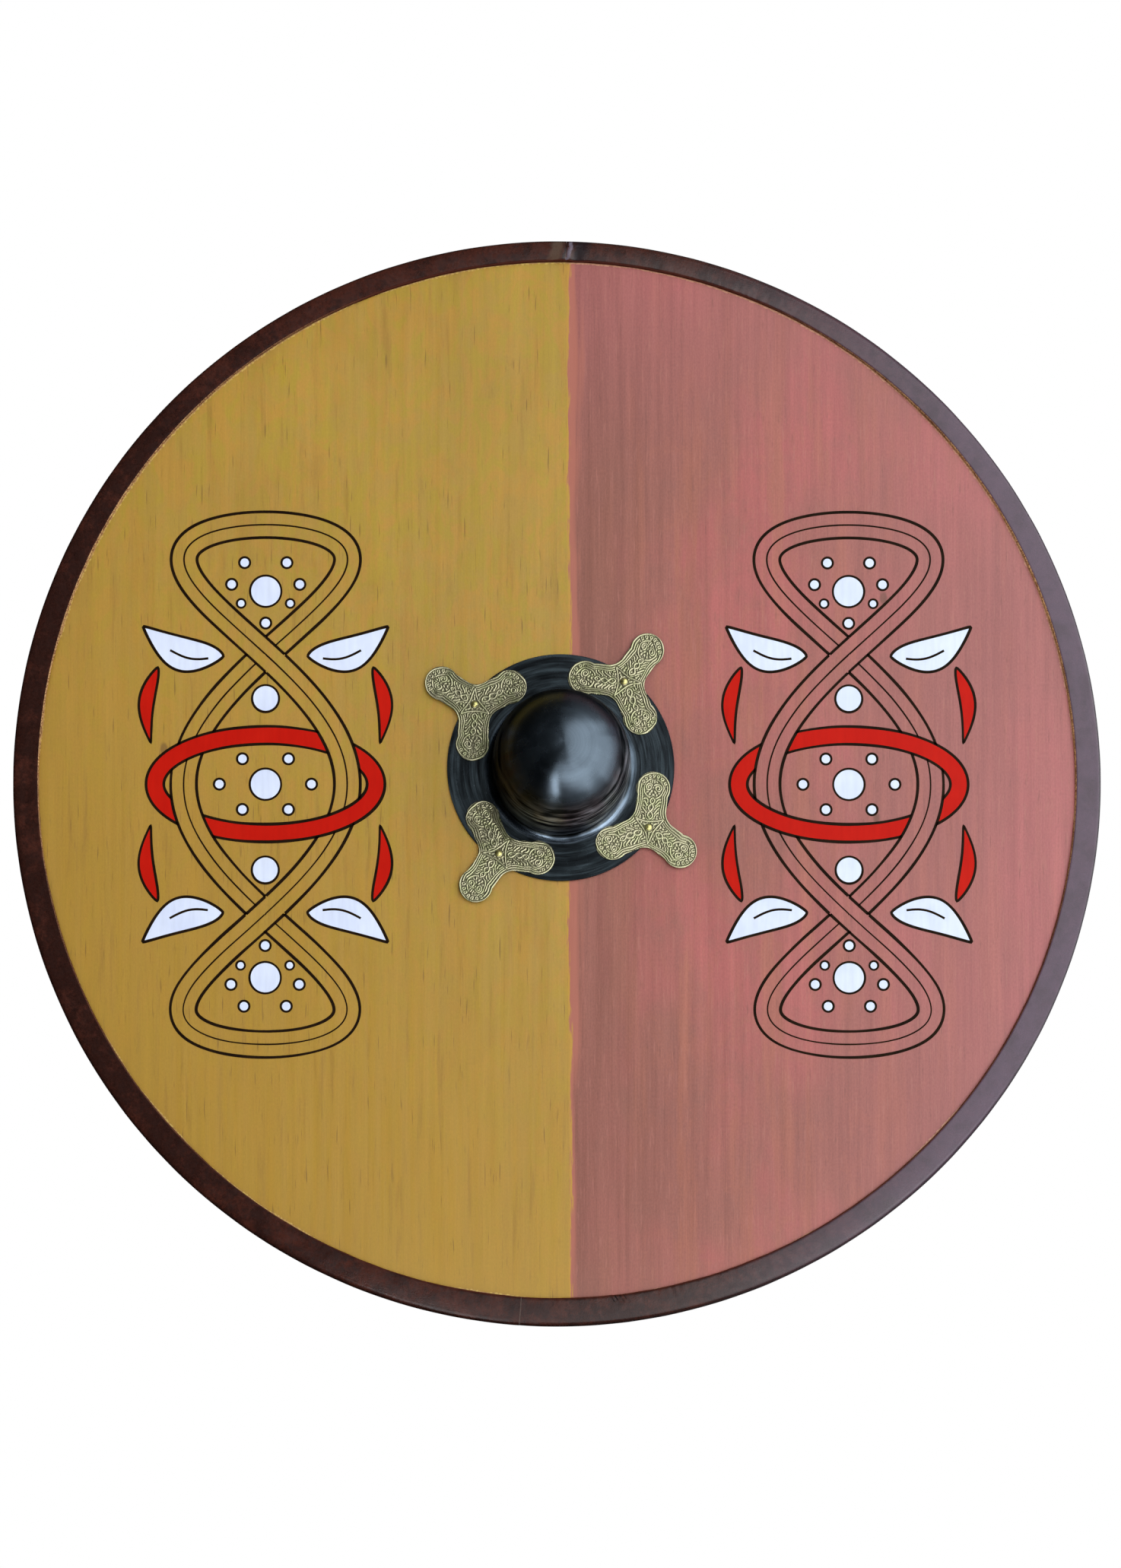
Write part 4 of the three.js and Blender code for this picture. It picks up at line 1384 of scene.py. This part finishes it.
def boss_profile(depth):
    """The spun sheet's section from the apex out to the flange's edge and back inside."""
    flange_front = PAINT_FACE - SHEET
    foot = (WALL_RADIUS + FOOT_RADIUS, flange_front - FOOT_RADIUS)
    roll = (FLANGE_ROLL, FLANGE_ROLL)
    reach = FLANGE_RADIUS - FLANGE_ROLL
    outside = arc((0, DOME_BASE), (WALL_TOP_RADIUS, DOME_HEIGHT), -90, 0, 70)
    wall_top, wall_end = np.array(outside[-1]), np.array((WALL_RADIUS, foot[1]))
    outside += [tuple(wall_top * (1 - share) + wall_end * share) for share in np.linspace(0, 1, 16)[1:-1]]
    outside += arc(foot, (FOOT_RADIUS, FOOT_RADIUS), 180, 90, 8)
    flange_from = len(outside)
    outside += [(radius, flange_front) for radius in np.linspace(foot[0], reach, 52)[1:]]
    edge = arc((reach, flange_front + FLANGE_ROLL), roll, -90, 0, 3)[1:]
    edge += arc((reach, PAINT_FACE - FLANGE_ROLL), roll, 0, 90, 3)
    inner_foot = FOOT_RADIUS + SHEET
    inside = arc(foot, (inner_foot, inner_foot), 90, 180, 6)
    inside += arc((0, DOME_BASE), (WALL_TOP_RADIUS - SHEET, DOME_HEIGHT - SHEET), 0, -90, 30)
    inside[-1] = (0.0, inside[-1][1])
    return turning_marks(outside, flange_from, depth) + edge + inside


def make_boss(scene):
    points, faces = lathe(boss_profile(scene.shield_sizes.turning_depth), BOSS_SEGMENTS)
    finish = steel_finish(scene.shield_colours)
    boss = make_piece("turned_boss", points, faces, [finish], "boss", crease=45)
    carve(boss, rivet_bores(PAINT_FACE - 4 * MM, PAINT_FACE + OVERRUN))


# The mounts. The ornament's own lengths are in mm, along an arm and across it.
LOBE_DISTANCE = 28.8 * MM
LOBE_RADIUS = 12.4 * MM
WAIST = 11.3 * MM
NOTCH = 12 * MM
THIRD_TURN = 2 * math.pi / 3
OUTLINE_STEP = 0.45 * MM
RELIEF_GRID = 0.36 * MM
RELIEF_BAND = 1.3 * MM
BAND_STEP = 0.25 * MM
BAND_SLOPE = 0.15 * MM
BAND_GROOVE = 0.45 * MM
WORM_PITCH = 2.2 * MM
COLLAR_RADIUS = 2.5 * MM
COLLAR_SLOPE = 0.3 * MM
COLLAR_GROOVE = 0.8 * MM
EDGE_SINK = 0.3 * MM


def at_angle(distance, degrees):
    """The point that far from the middle in a direction."""
    angle = math.radians(degrees)
    return (distance * math.cos(angle), distance * math.sin(angle))


def mount_outline():
    """The mount's outline in its own plane, its first arm along +X, as an even row of points."""
    reach = 180 - math.degrees(math.asin(WAIST / LOBE_RADIUS))
    notch_distance = (WAIST + NOTCH) / math.sin(math.radians(60))
    row = []
    for arm in (0, 120, 240):
        lobe, notch = at_angle(LOBE_DISTANCE, arm), at_angle(notch_distance, arm + 60)
        row += arc(lobe, (LOBE_RADIUS, LOBE_RADIUS), arm - reach, arm + reach, 60)
        row += arc(notch, (NOTCH, NOTCH), arm + 270, arm + 210, 16)
    return evenly(np.array(row), step=OUTLINE_STEP)


def inward_of(outline):
    """Unit vectors into a closed outline."""
    aside = sideways(outline)
    return aside * np.sign((aside * -outline).sum(axis=1).sum())


def laid(along, across, width=RELIEF_BAND):
    """A raised band of the ornament as the points of its middle line and its width."""
    return np.stack([along * MM, across * MM], axis=1), width


def hooked_bars(share):
    """Bars that fan out from the middle of the mount, each with a hook."""
    bars = []
    for step in range(5):
        length = 5.4 - 0.3 * step
        hook = 1.5 * np.sin(np.pi * share ** (1.6 if step % 2 else 0.7))
        along = 8.0 + 2.6 * step + (0.50 * length + 0.8) * share + hook
        bars.append(laid(along, 2.9 + 0.87 * length * share, 1.25 * MM))
    return bars


def lobe_scroll(share):
    """The lobe's ring, the curl inside it and its eye."""
    turn = np.radians(np.linspace(4, 176, 80))
    ring = laid(28.9 + 7.2 * np.cos(turn), 7.2 * np.sin(turn))
    turn = np.radians(-60 + 560 * share)
    radius = 3.0 - 2.3 * share
    curl = laid(29.4 + radius * np.cos(turn), 3.5 + radius * np.sin(turn), 1.1 * MM)
    eye = laid(33.3 + 1.7 * share, np.full_like(share, 0.9))
    return [ring, curl, eye]


def tip_beads(share):
    """Small rings round the lobe's tip."""
    turn = 2 * np.pi * share
    outward, aside = 9.5 + 1.15 * np.cos(turn), 0.80 * np.sin(turn)
    beads = []
    for step in range(4):
        lean = math.radians(21 * step)
        along = 28.8 + outward * math.cos(lean) - aside * math.sin(lean)
        beads.append(laid(along, outward * math.sin(lean) + aside * math.cos(lean), 0.95 * MM))
    return beads


def side_lines(outline, inward):
    """Two lines beside the arm's edge, the inner one starting farther from the tip."""
    from_lobe = outline - np.array([LOBE_DISTANCE, 0])
    lean = np.degrees(np.arctan2(from_lobe[:, 1], from_lobe[:, 0]))
    on_half_arm = (outline[:, 1] > 0) & (np.degrees(np.arctan2(outline[:, 1], outline[:, 0])) <= 61)
    lines = []
    for inset, first_lean in ((2.35, 74), (3.85, 92)):
        kept = on_half_arm & (lean > first_lean)
        lines.append(((outline + inward * inset * MM)[kept], 0.95 * MM))
    return lines


def half_arm_bands(outline):
    """The ornament's bands on one half of an arm that lies along +X, lowest first."""
    share = np.linspace(0, 1, 80)
    inward = inward_of(outline)
    along = 6.4 + 15.6 * share
    linked_loops = laid(along, 1.75 * np.abs(np.sin(np.pi * (along - 6.4) / 5.2)) ** 0.8)
    round_rivet = laid(4.4 + 1.6 * share ** 1.5, 10.0 * share, 1.1 * MM)
    border = ((outline + inward * 0.62 * MM)[outline[:, 0] > 0], 1.15 * MM)
    scrolls = [*hooked_bars(share), *lobe_scroll(share), *tip_beads(share)]
    return [*scrolls, *side_lines(outline, inward), linked_loops, round_rivet, border]


def folded_spots(spots):
    """The spots folded onto the first half arm, because the six half arms are alike. Before that
    they wander a little, away from the middle, so that no two arms are quite the same."""
    away = np.clip(np.hypot(*spots.T) / (6 * MM), 0, 1)[:, None]
    bent = spots.copy()
    for cells, far in ((95, 1.3 * MM), (260, 0.35 * MM)):
        drift = [(ripple(x * cells, z * cells), ripple(x * cells, z * cells + 40)) for x, z in spots]
        bent += far * away * np.array(drift)
    reach = np.hypot(*bent.T)
    turn = np.arctan2(bent[:, 1], bent[:, 0])
    turn = np.abs(turn - np.round(turn / THIRD_TURN) * THIRD_TURN)
    return np.stack([reach * np.cos(turn), reach * np.sin(turn)], axis=1)


def worms(spots):
    """Wriggling ridges, made from waves in nine directions."""
    total = 0
    for step in range(9):
        way = (math.cos(0.35 * step), math.sin(0.35 * step))
        total = total + np.cos(2 * np.pi / WORM_PITCH * (spots @ way) + 2.4 * step ** 2)
    return total


def relief_height(spots, outline):
    """How high the ornament stands at each spot, from 0 in the recesses to 1."""
    folded = folded_spots(spots)
    height = np.clip(0.66 + worms(folded) / 1.5, 0, 1)
    for path, width in half_arm_bands(outline):
        gap = distance_to(folded, evenly(path, closed=False, step=BAND_STEP))
        raised = np.clip(1 - (gap / (width / 2 + BAND_SLOPE)) ** 2, 0, 1) ** 0.6
        height = np.where(gap < width / 2 + BAND_GROOVE, raised, height)
    from_rivet = np.hypot(*spots.T)
    collar = np.clip((COLLAR_RADIUS - from_rivet) / COLLAR_SLOPE + 0.5, 0, 1)
    return np.where(from_rivet < COLLAR_RADIUS + COLLAR_GROOVE, collar, height)


def points_inside(spots, outline):
    """Which spots lie inside a closed outline."""
    inside = np.zeros(len(spots), bool)
    for (x1, z1), (x2, z2) in zip(outline, np.roll(outline, -1, axis=0)):
        between = (z1 > spots[:, 1]) != (z2 > spots[:, 1])
        if between.any():
            inside[between] ^= spots[between, 0] < (x2 - x1) * (spots[between, 1] - z1) / (z2 - z1) + x1
    return inside


def fill_between(outline, hole, extra=()):
    """Triangles between an outline and the hole inside it, over their points and the extra ones."""
    whole_hull, nearness = 0, 1e-7
    edges, start = [], 0
    for ring in (outline, hole):
        edges += [(start + i, start + (i + 1) % len(ring)) for i in range(len(ring))]
        start += len(ring)
    points = [Vector(point) for point in np.vstack([outline, hole, *extra])]
    made = delaunay_2d_cdt(points, edges, [], whole_hull, nearness, False)
    spots = np.array([(point.x, point.y) for point in made[0]])
    triangles = np.array([list(face) for face in made[2]])
    middles = spots[triangles].mean(axis=1)
    kept = points_inside(middles, outline) & ~points_inside(middles, hole)
    return spots, triangles[kept].tolist()


def relief_spots(outline):
    """Spots in even rows inside the outline, clear of its edge and of the hole."""
    reach = LOBE_DISTANCE + LOBE_RADIUS
    across = np.arange(-reach, reach, RELIEF_GRID)
    rows = []
    for row, z in enumerate(np.arange(-reach, reach, RELIEF_GRID * 0.866)):
        rows.append(np.stack([across + RELIEF_GRID / 2 * (row % 2), np.full_like(across, z)], axis=1))
    spots = np.vstack(rows)
    spots = spots[points_inside(spots, outline) & (np.hypot(*spots.T) > HOLE_RADIUS + 0.2 * MM)]
    return spots[distance_to(spots, outline) > 0.25 * MM]


def mount_mesh(relief_depth):
    """The embossed mount in its own plane: (x, height, z) points and faces, height 0 at its back."""
    outline = mount_outline()
    hole = np.array(arc((0, 0), (HOLE_RADIUS, HOLE_RADIUS), 0, 345, 23))
    thickness = MOUNT_BACK - MOUNT_FRONT
    spots, front = fill_between(outline, hole, [relief_spots(outline)])
    back_spots, back = fill_between(outline, hole)
    lifted = thickness - relief_depth * (1 - relief_height(spots, outline))
    lifted[:len(outline)] = thickness - EDGE_SINK
    points = [(x, lift, z) for (x, z), lift in zip(spots, lifted)]
    points += [(x, 0.0, z) for x, z in back_spots]
    start = len(spots)
    faces = front + [[start + index for index in face] for face in back]
    for first, count in ((0, len(outline)), (len(outline), len(hole))):
        for i in range(count):
            here, after = first + i, first + (i + 1) % count
            faces.append([here, after, start + after, start + here])
    return points, faces


def make_mounts(scene):
    colours, sizes = scene.shield_colours, scene.shield_sizes
    finish = brass_finish(colours.brass, sizes, "cast_brass", 0.66, 0.38)
    points, faces = mount_mesh(sizes.relief_depth)
    for place, arm in MOUNT_ARMS.items():
        name, node = f"embossed_mount_{place}", f"mount_{place}"
        middle_x, middle_z = middle_of(f"rivet_{place}")
        cos, sin = math.cos(math.radians(arm)), math.sin(math.radians(arm))
        placed = [
            (middle_x + x * cos - z * sin, MOUNT_BACK - lift, middle_z + x * sin + z * cos)
            for x, lift, z in points
        ]
        make_piece(name, placed, faces, [finish], node, crease=70)


# Rivets and washers

def make_rivets(scene):
    colours, sizes = scene.shield_colours, scene.shield_sizes
    # Painted highlight: the rivets' brass is a lighter, yellower copy of the mounts' brass, as if their
    # domes catch the light.
    finish = brass_finish(tinted(colours.brass, 1.40, 1.34, 0.84), sizes, "highlit_rivet_brass", 0.0, 0.42)
    head_edge, tail_edge = MOUNT_FRONT - 0.15 * MM, WASHER_BACK + 0.1 * MM
    shank = [
        (HEAD_RADIUS - 0.1 * MM, MOUNT_FRONT),
        (SHANK_RADIUS, MOUNT_FRONT),
        (SHANK_RADIUS, WASHER_BACK),
        (TAIL_RADIUS - 0.15 * MM, WASHER_BACK),
    ]
    for place in MOUNT_ARMS:
        node = f"rivet_{place}"
        low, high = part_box(node)
        head = arc((0, head_edge), (HEAD_RADIUS, head_edge - low.y), -90, 0, 9)
        head[0] = (0.0, low.y)
        tail = arc((0, tail_edge), (TAIL_RADIUS, high.y - tail_edge), 0, 90, 8)
        tail[-1] = (0.0, high.y)
        points, faces = lathe(head + shank + tail, 40, middle_of(node))
        make_piece(f"domed_rivet_{place}", points, faces, [finish], node, crease=50)


def make_washers(scene):
    finish = zinc_finish("plated_washer", scene.shield_colours.zinc)
    inner, outer, ease = HOLE_RADIUS, WASHER_RADIUS, WASHER_EASE
    profile = [
        (inner, BOARD_BACK),
        (outer - ease, BOARD_BACK),
        (outer, BOARD_BACK + ease),
        (outer, WASHER_BACK - ease),
        (outer - ease, WASHER_BACK),
        (inner + ease, WASHER_BACK),
        (inner, WASHER_BACK - ease),
    ]
    for place in MOUNT_ARMS:
        name, node = f"plated_washer_{place}", f"rivet_washer_{place}"
        points, faces = lathe(profile, 48, middle_of(f"rivet_{place}"), closed=True)
        make_piece(name, points, faces, [finish], node, crease=40)


# The grip and its screws
PAD_LENGTH = 58 * MM
RAMP_LENGTH = 44 * MM
PAD_THICKNESS = 12 * MM
PAD_WIDTH = 28 * MM
PAD_ROUNDING = 2.5 * MM
BAR_ROUNDING = 8 * MM
END_ROUNDING = 10 * MM
CARVING = 0.12 * MM
GRIP_HALF_LENGTH = (GRIP_HIGH.x - GRIP_LOW.x) / 2


def carved(x, y, z, axis_y):
    """A point of the grip's section cut in a little, unevenly, towards the bar's middle."""
    cut = CARVING * (1 + ripple(x / MM * 0.06, y / MM * 0.11, z / MM * 0.11))
    inward = Vector((0, axis_y - y, -z)).normalized() * cut
    return (y + inward.y, z + inward.z)


def grip_section(x):
    """One rounded section of the grip at x as (y, z) points. Only its thick part is carved, and
    not where it lies on the board."""
    from_end = GRIP_HALF_LENGTH - abs(x)
    span = smooth_step(from_end, PAD_LENGTH, PAD_LENGTH + RAMP_LENGTH)
    short = max(END_ROUNDING - from_end, 0.0)
    narrowing = END_ROUNDING - math.sqrt(max(END_ROUNDING ** 2 - short ** 2, 0.0))
    half_width = (PAD_WIDTH * (1 - span) + (GRIP_HIGH.z - GRIP_LOW.z) * span) / 2 - narrowing
    thickness = PAD_THICKNESS * (1 - span) + (GRIP_HIGH.y - GRIP_LOW.y) * span
    rounding = PAD_ROUNDING * (1 - span) + BAR_ROUNDING * span
    front, back = BOARD_BACK, BOARD_BACK + thickness
    side = half_width - rounding
    section = []
    for middle, start in (
        ((back - rounding, side), 0),
        ((back - rounding, -side), 270),
        ((front + rounding, -side), 180),
        ((front + rounding, side), 90),
    ):
        section += arc(middle, (rounding, rounding), start + 90, start, 5)
    clear_of_board = front + 0.5 * MM
    return [
        carved(x, y, z, (front + back) / 2) if span > 0 and y > clear_of_board else (y, z)
        for y, z in section
    ]


def screw_sink(node):
    """A screw's hole through the grip's pad, with its countersink."""
    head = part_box(node)[1].y
    radius, mouth = SCREW_RADIUS + SCREW_SLACK, SCREW_HEAD_RADIUS + SCREW_SLACK
    start, end = BOARD_BACK - OVERRUN, BOARD_BACK + PAD_THICKNESS + 2 * OVERRUN
    profile = [
        (0, start),
        (radius, start),
        (radius, head - SCREW_HEAD_DEPTH),
        (mouth, head),
        (mouth, end),
        (0, end),
    ]
    return lathe(profile, 40, middle_of(node))


def make_grip(scene):
    inner_end = GRIP_HALF_LENGTH - 14 * MM
    near_end = [-GRIP_HALF_LENGTH + d * MM for d in (0, 0.5, 1.2, 2.2, 3.5, 5, 7, 10)]
    stations = [*near_end, *np.linspace(-inner_end, inner_end, 96), *(-x for x in reversed(near_end))]
    points, faces = skin([[(x, y, z) for y, z in grip_section(x)] for x in stations])
    finish = grip_finish(scene.shield_colours)
    grip = make_piece("carved_grip", points, faces, [finish], "grip", crease=40)
    carve(grip, [screw_sink(f"grip_screw_{place}") for place in SCREW_SLOTS])


def slot_cutter(middle, top, degrees):
    """A flat box through a screw's head, turned as its slot was left."""
    cos, sin = at_angle(1, degrees)
    corners = []
    for y in (top - SLOT_DEPTH, top + OVERRUN):
        for along, aside in ((-1, -1), (1, -1), (1, 1), (-1, 1)):
            u, v = along * SLOT_HALF_LENGTH, aside * SLOT_HALF_WIDTH
            corners.append((middle[0] + u * cos - v * sin, y, middle[1] + u * sin + v * cos))
    return corners, [(0, 1, 2, 3), (4, 5, 6, 7), (0, 1, 5, 4), (1, 2, 6, 5), (2, 3, 7, 6), (3, 0, 4, 7)]


def make_screws(scene):
    finish = zinc_finish("dull_screw", tinted(scene.shield_colours.zinc, 0.8, 0.76, 0.7))
    for place, degrees in SCREW_SLOTS.items():
        name, node = f"slotted_screw_{place}", f"grip_screw_{place}"
        low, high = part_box(node)
        profile = [
            (0, low.y),
            (SCREW_RADIUS, low.y + SCREW_TAPER),
            (SCREW_RADIUS, high.y - SCREW_HEAD_DEPTH),
            (SCREW_HEAD_RADIUS, high.y - 0.25 * MM),
            (SCREW_HEAD_RADIUS - 0.15 * MM, high.y),
            (0, high.y),
        ]
        points, faces = lathe(profile, 40, middle_of(node))
        screw = make_piece(name, points, faces, [finish], node, crease=30)
        carve(screw, [slot_cutter(middle_of(node), high.y, degrees)])


# The studio
CAMERA_PLACE = (-0.0312, -1.0170, -0.2791)
CAMERA_TILT = 0.0083
CAMERA_TURN = 0.0014
CAMERA_LENS = 31.21
CAMERA_SHIFT = (0.0258, 0.2252)
FLOOR_LEVEL = -1.15
FLOOR_RADIUS = 1.7
FLOOR_THICKNESS = 0.02
SCREEN_RADIUS = 4
SCREEN_OPENING = 150
ROOM_LIGHT = 0.30
NEST_STEP = 0.03
COOL, WARM = (0.92, 0.97, 1.0), (1.0, 0.98, 0.95)


def make_camera(scene):
    data = bpy.data.cameras.new("photo_camera")
    data.sensor_width = 36.0
    data.lens = CAMERA_LENS
    data.shift_x, data.shift_y = CAMERA_SHIFT
    data.clip_start, data.clip_end = 0.05, 50.0
    camera = new_object("photo_camera", data)
    camera.location = CAMERA_PLACE
    camera.rotation_euler = (math.pi / 2 + CAMERA_TILT, 0, -CAMERA_TURN)
    scene.camera = camera


def make_world():
    """White for what the camera sees directly, in gloss or through glass, and dim for what lights
    the shield."""
    world = bpy.data.worlds.new("studio")
    world.use_nodes = True
    nodes, links = world.node_tree.nodes, world.node_tree.links
    background = nodes["Background"]
    background.inputs["Color"].default_value = (1, 1, 1, 1)
    rays = nodes.new("ShaderNodeLightPath").outputs
    seen = rays["Is Camera Ray"]
    for kind in ("Is Glossy Ray", "Is Transmission Ray"):
        either = nodes.new("ShaderNodeMath")
        either.operation = "MAXIMUM"
        links.new(seen, either.inputs[0])
        links.new(rays[kind], either.inputs[1])
        seen = either.outputs[0]
    level = nodes.new("ShaderNodeMapRange")
    links.new(seen, level.inputs["Value"])
    level.inputs["To Min"].default_value = ROOM_LIGHT
    level.inputs["To Max"].default_value = 1.0
    links.new(level.outputs["Result"], background.inputs["Strength"])
    bpy.context.scene.world = world


def make_screen():
    """A dark screen round the set, open behind, as studios hang to keep reflections deep. Only gloss sees
    it. Its faint bluish glow, stronger towards the right, is painted reflection for the steel."""
    angles = np.radians(range(0, SCREEN_OPENING + 1, 10))
    profile = [(SCREEN_RADIUS * math.sin(angle), -SCREEN_RADIUS * math.cos(angle)) for angle in angles]
    finish = Finish("dark_screen")
    # Painted reflection: the glow rises from near black at the left to faint bluish at the right.
    level = finish.band(finish.x, -0.8, 2.5, 0.012, 0.25)
    glow = {"Emission_Color": (0.86, 0.96, 1.0, 1), "Emission_Strength": level}
    cloth = finish.done((0, 0, 0), 0.5, Specular_IOR_Level=0, **glow)
    screen = new_object("dark_screen", new_mesh("dark_screen", *lathe(profile, 48), [cloth]))
    for kind in ("camera", "diffuse", "transmission", "volume_scatter", "shadow"):
        setattr(screen, f"visible_{kind}", False)


def make_floor():
    top, bottom = FLOOR_LEVEL, FLOOR_LEVEL - FLOOR_THICKNESS
    profile = [(0, top), (FLOOR_RADIUS * 0.5, top), (FLOOR_RADIUS, top), (FLOOR_RADIUS, bottom), (0, bottom)]
    points, faces = lathe(profile, 96)
    finish = Finish("pale_floor")
    coat = Coat(finish, (0.86, 0.86, 0.87))
    coat.vary(finish.noise(3, detail=3), 0.02)
    mesh = new_mesh("floor", [(x, z, y) for x, y, z in points], faces, [finish.done(coat.colour, 0.7)])
    turn_outward(mesh)
    floor = new_object("floor", mesh)
    floor.visible_glossy = False


def aimed_lamp(name, place, size, radiance, colour, spread=1.0, glossy=True, diffuse=True):
    """A soft rectangular lamp that faces the shield. radiance is how bright its face looks."""
    width, height = size[0] * spread, size[1] * spread
    data = bpy.data.lights.new(name, "AREA")
    data.shape = "RECTANGLE"
    data.size, data.size_y = width, height
    data.energy = radiance * width * height * math.pi
    data.color = colour
    lamp = new_object(name, data)
    lamp.location = place
    lamp.rotation_euler = (-Vector(place)).to_track_quat("-Z", "Y").to_euler()
    lamp.visible_camera = False
    lamp.visible_glossy = glossy
    lamp.visible_diffuse = diffuse


def make_lamps(studio):
    """The lamps. A panel that has to look soft in the gloss is made of nested ones."""
    side, side_size = Vector((1.54, -1.6, 0.45)), (3.1, 3.4)
    low_side, low_side_size = Vector((0.44, -0.86, -0.76)), (1.3, 0.6)
    aimed_lamp("side_panel", side, side_size, studio.key, COOL, glossy=False)
    for step, (spread, share) in enumerate(((0.76, 0.45), (1.0, 0.40), (1.22, 0.35))):
        name, place = f"side_panel_gloss_{step}", side * (1 + NEST_STEP * step)
        aimed_lamp(name, place, side_size, studio.key * share, COOL, spread, diffuse=False)
    aimed_lamp("far_side_panel", (2.5, -0.1, 0.1), (1.4, 2.4), studio.key * 0.38, COOL, diffuse=False)
    aimed_lamp("low_lamp", (-0.20, -0.64, -0.83), (0.17, 0.56), studio.window, COOL, diffuse=False)
    for step, spread in enumerate((0.8, 1.15)):
        name, place = f"low_side_lamp_{step}", low_side * (1 + NEST_STEP * step)
        aimed_lamp(name, place, low_side_size, studio.low / 2, COOL, spread, diffuse=False)
    aimed_lamp("left_fill", (-1.7, -1.9, 0.6), (2.4, 2.4), studio.fill, WARM, glossy=False)
    aimed_lamp("rear_fill", (0.5, 2.0, 0.9), (2.2, 1.8), studio.rear, WARM)


def make_stage(scene):
    make_camera(scene)
    make_world()
    make_screen()
    make_floor()
    make_lamps(scene.shield_studio)
    scene.view_settings.view_transform = "Standard"


# The add-on

class SHIELD_OT_board(bpy.types.Operator):
    """Make the plywood board with its two painted halves and its hand hole"""

    bl_idname = "round_shield.board"
    bl_label = "Board"

    def execute(self, context):
        make_board(context.scene)
        return {"FINISHED"}


class SHIELD_OT_artwork(bpy.types.Operator):
    """Paint the knotwork on both halves of the board"""

    bl_idname = "round_shield.artwork"
    bl_label = "Painted Knotwork"

    def execute(self, context):
        make_artwork(context.scene)
        return {"FINISHED"}


class SHIELD_OT_edging(bpy.types.Operator):
    """Fold the two leather strips round the board's edge"""

    bl_idname = "round_shield.edging"
    bl_label = "Leather Edging"

    def execute(self, context):
        make_edging(context.scene)
        return {"FINISHED"}


class SHIELD_OT_boss(bpy.types.Operator):
    """Spin the steel boss"""

    bl_idname = "round_shield.boss"
    bl_label = "Boss"

    def execute(self, context):
        make_boss(context.scene)
        return {"FINISHED"}


class SHIELD_OT_mounts(bpy.types.Operator):
    """Cast the four brass mounts with their ornament"""

    bl_idname = "round_shield.mounts"
    bl_label = "Mounts"

    def execute(self, context):
        make_mounts(context.scene)
        return {"FINISHED"}


class SHIELD_OT_rivets(bpy.types.Operator):
    """Set the four rivets through the mounts"""

    bl_idname = "round_shield.rivets"
    bl_label = "Rivets"

    def execute(self, context):
        make_rivets(context.scene)
        return {"FINISHED"}


class SHIELD_OT_washers(bpy.types.Operator):
    """Lay the washers that the rivets are closed over"""

    bl_idname = "round_shield.washers"
    bl_label = "Rivet Washers"

    def execute(self, context):
        make_washers(context.scene)
        return {"FINISHED"}


class SHIELD_OT_grip(bpy.types.Operator):
    """Carve the wooden grip"""

    bl_idname = "round_shield.grip"
    bl_label = "Grip"

    def execute(self, context):
        make_grip(context.scene)
        return {"FINISHED"}


class SHIELD_OT_screws(bpy.types.Operator):
    """Drive the four slotted screws into the grip's pads"""

    bl_idname = "round_shield.screws"
    bl_label = "Grip Screws"

    def execute(self, context):
        make_screws(context.scene)
        return {"FINISHED"}


class SHIELD_OT_stage(bpy.types.Operator):
    """Set up the floor, the lamps and the camera"""

    bl_idname = "round_shield.stage"
    bl_label = "Stage"

    def execute(self, context):
        make_stage(context.scene)
        return {"FINISHED"}


OPERATORS = (
    SHIELD_OT_stage,
    SHIELD_OT_board,
    SHIELD_OT_artwork,
    SHIELD_OT_edging,
    SHIELD_OT_boss,
    SHIELD_OT_mounts,
    SHIELD_OT_rivets,
    SHIELD_OT_washers,
    SHIELD_OT_grip,
    SHIELD_OT_screws,
)
GROUPS = {"shield_sizes": ShieldSizes, "shield_colours": ShieldColours, "shield_studio": ShieldStudio}


class SHIELD_PT_panel(bpy.types.Panel):
    """Lists the shield's pieces, sizes and colours"""

    bl_idname = "SHIELD_PT_panel"
    bl_label = "Round Shield"
    bl_space_type = "VIEW_3D"
    bl_region_type = "UI"
    bl_category = "Shield"

    def draw(self, context):
        for operator in OPERATORS:
            self.layout.operator(operator.bl_idname)
        for name, group in GROUPS.items():
            box = self.layout.box()
            for setting in group.__annotations__:
                box.prop(getattr(context.scene, name), setting)


def register():
    for group in GROUPS.values():
        bpy.utils.register_class(group)
    for name, group in GROUPS.items():
        setattr(bpy.types.Scene, name, PointerProperty(type=group))
    for operator in OPERATORS:
        bpy.utils.register_class(operator)
    bpy.utils.register_class(SHIELD_PT_panel)


def unregister():
    bpy.utils.unregister_class(SHIELD_PT_panel)
    for operator in reversed(OPERATORS):
        bpy.utils.unregister_class(operator)
    for name in GROUPS:
        delattr(bpy.types.Scene, name)
    for group in reversed(list(GROUPS.values())):
        bpy.utils.unregister_class(group)


def main():
    register()
    bpy.ops.round_shield.stage()
    bpy.ops.round_shield.board()
    bpy.ops.round_shield.artwork()
    bpy.ops.round_shield.edging()
    bpy.ops.round_shield.boss()
    bpy.ops.round_shield.mounts()
    bpy.ops.round_shield.rivets()
    bpy.ops.round_shield.washers()
    bpy.ops.round_shield.grip()
    bpy.ops.round_shield.screws()


if __name__ == "__main__":
    main()
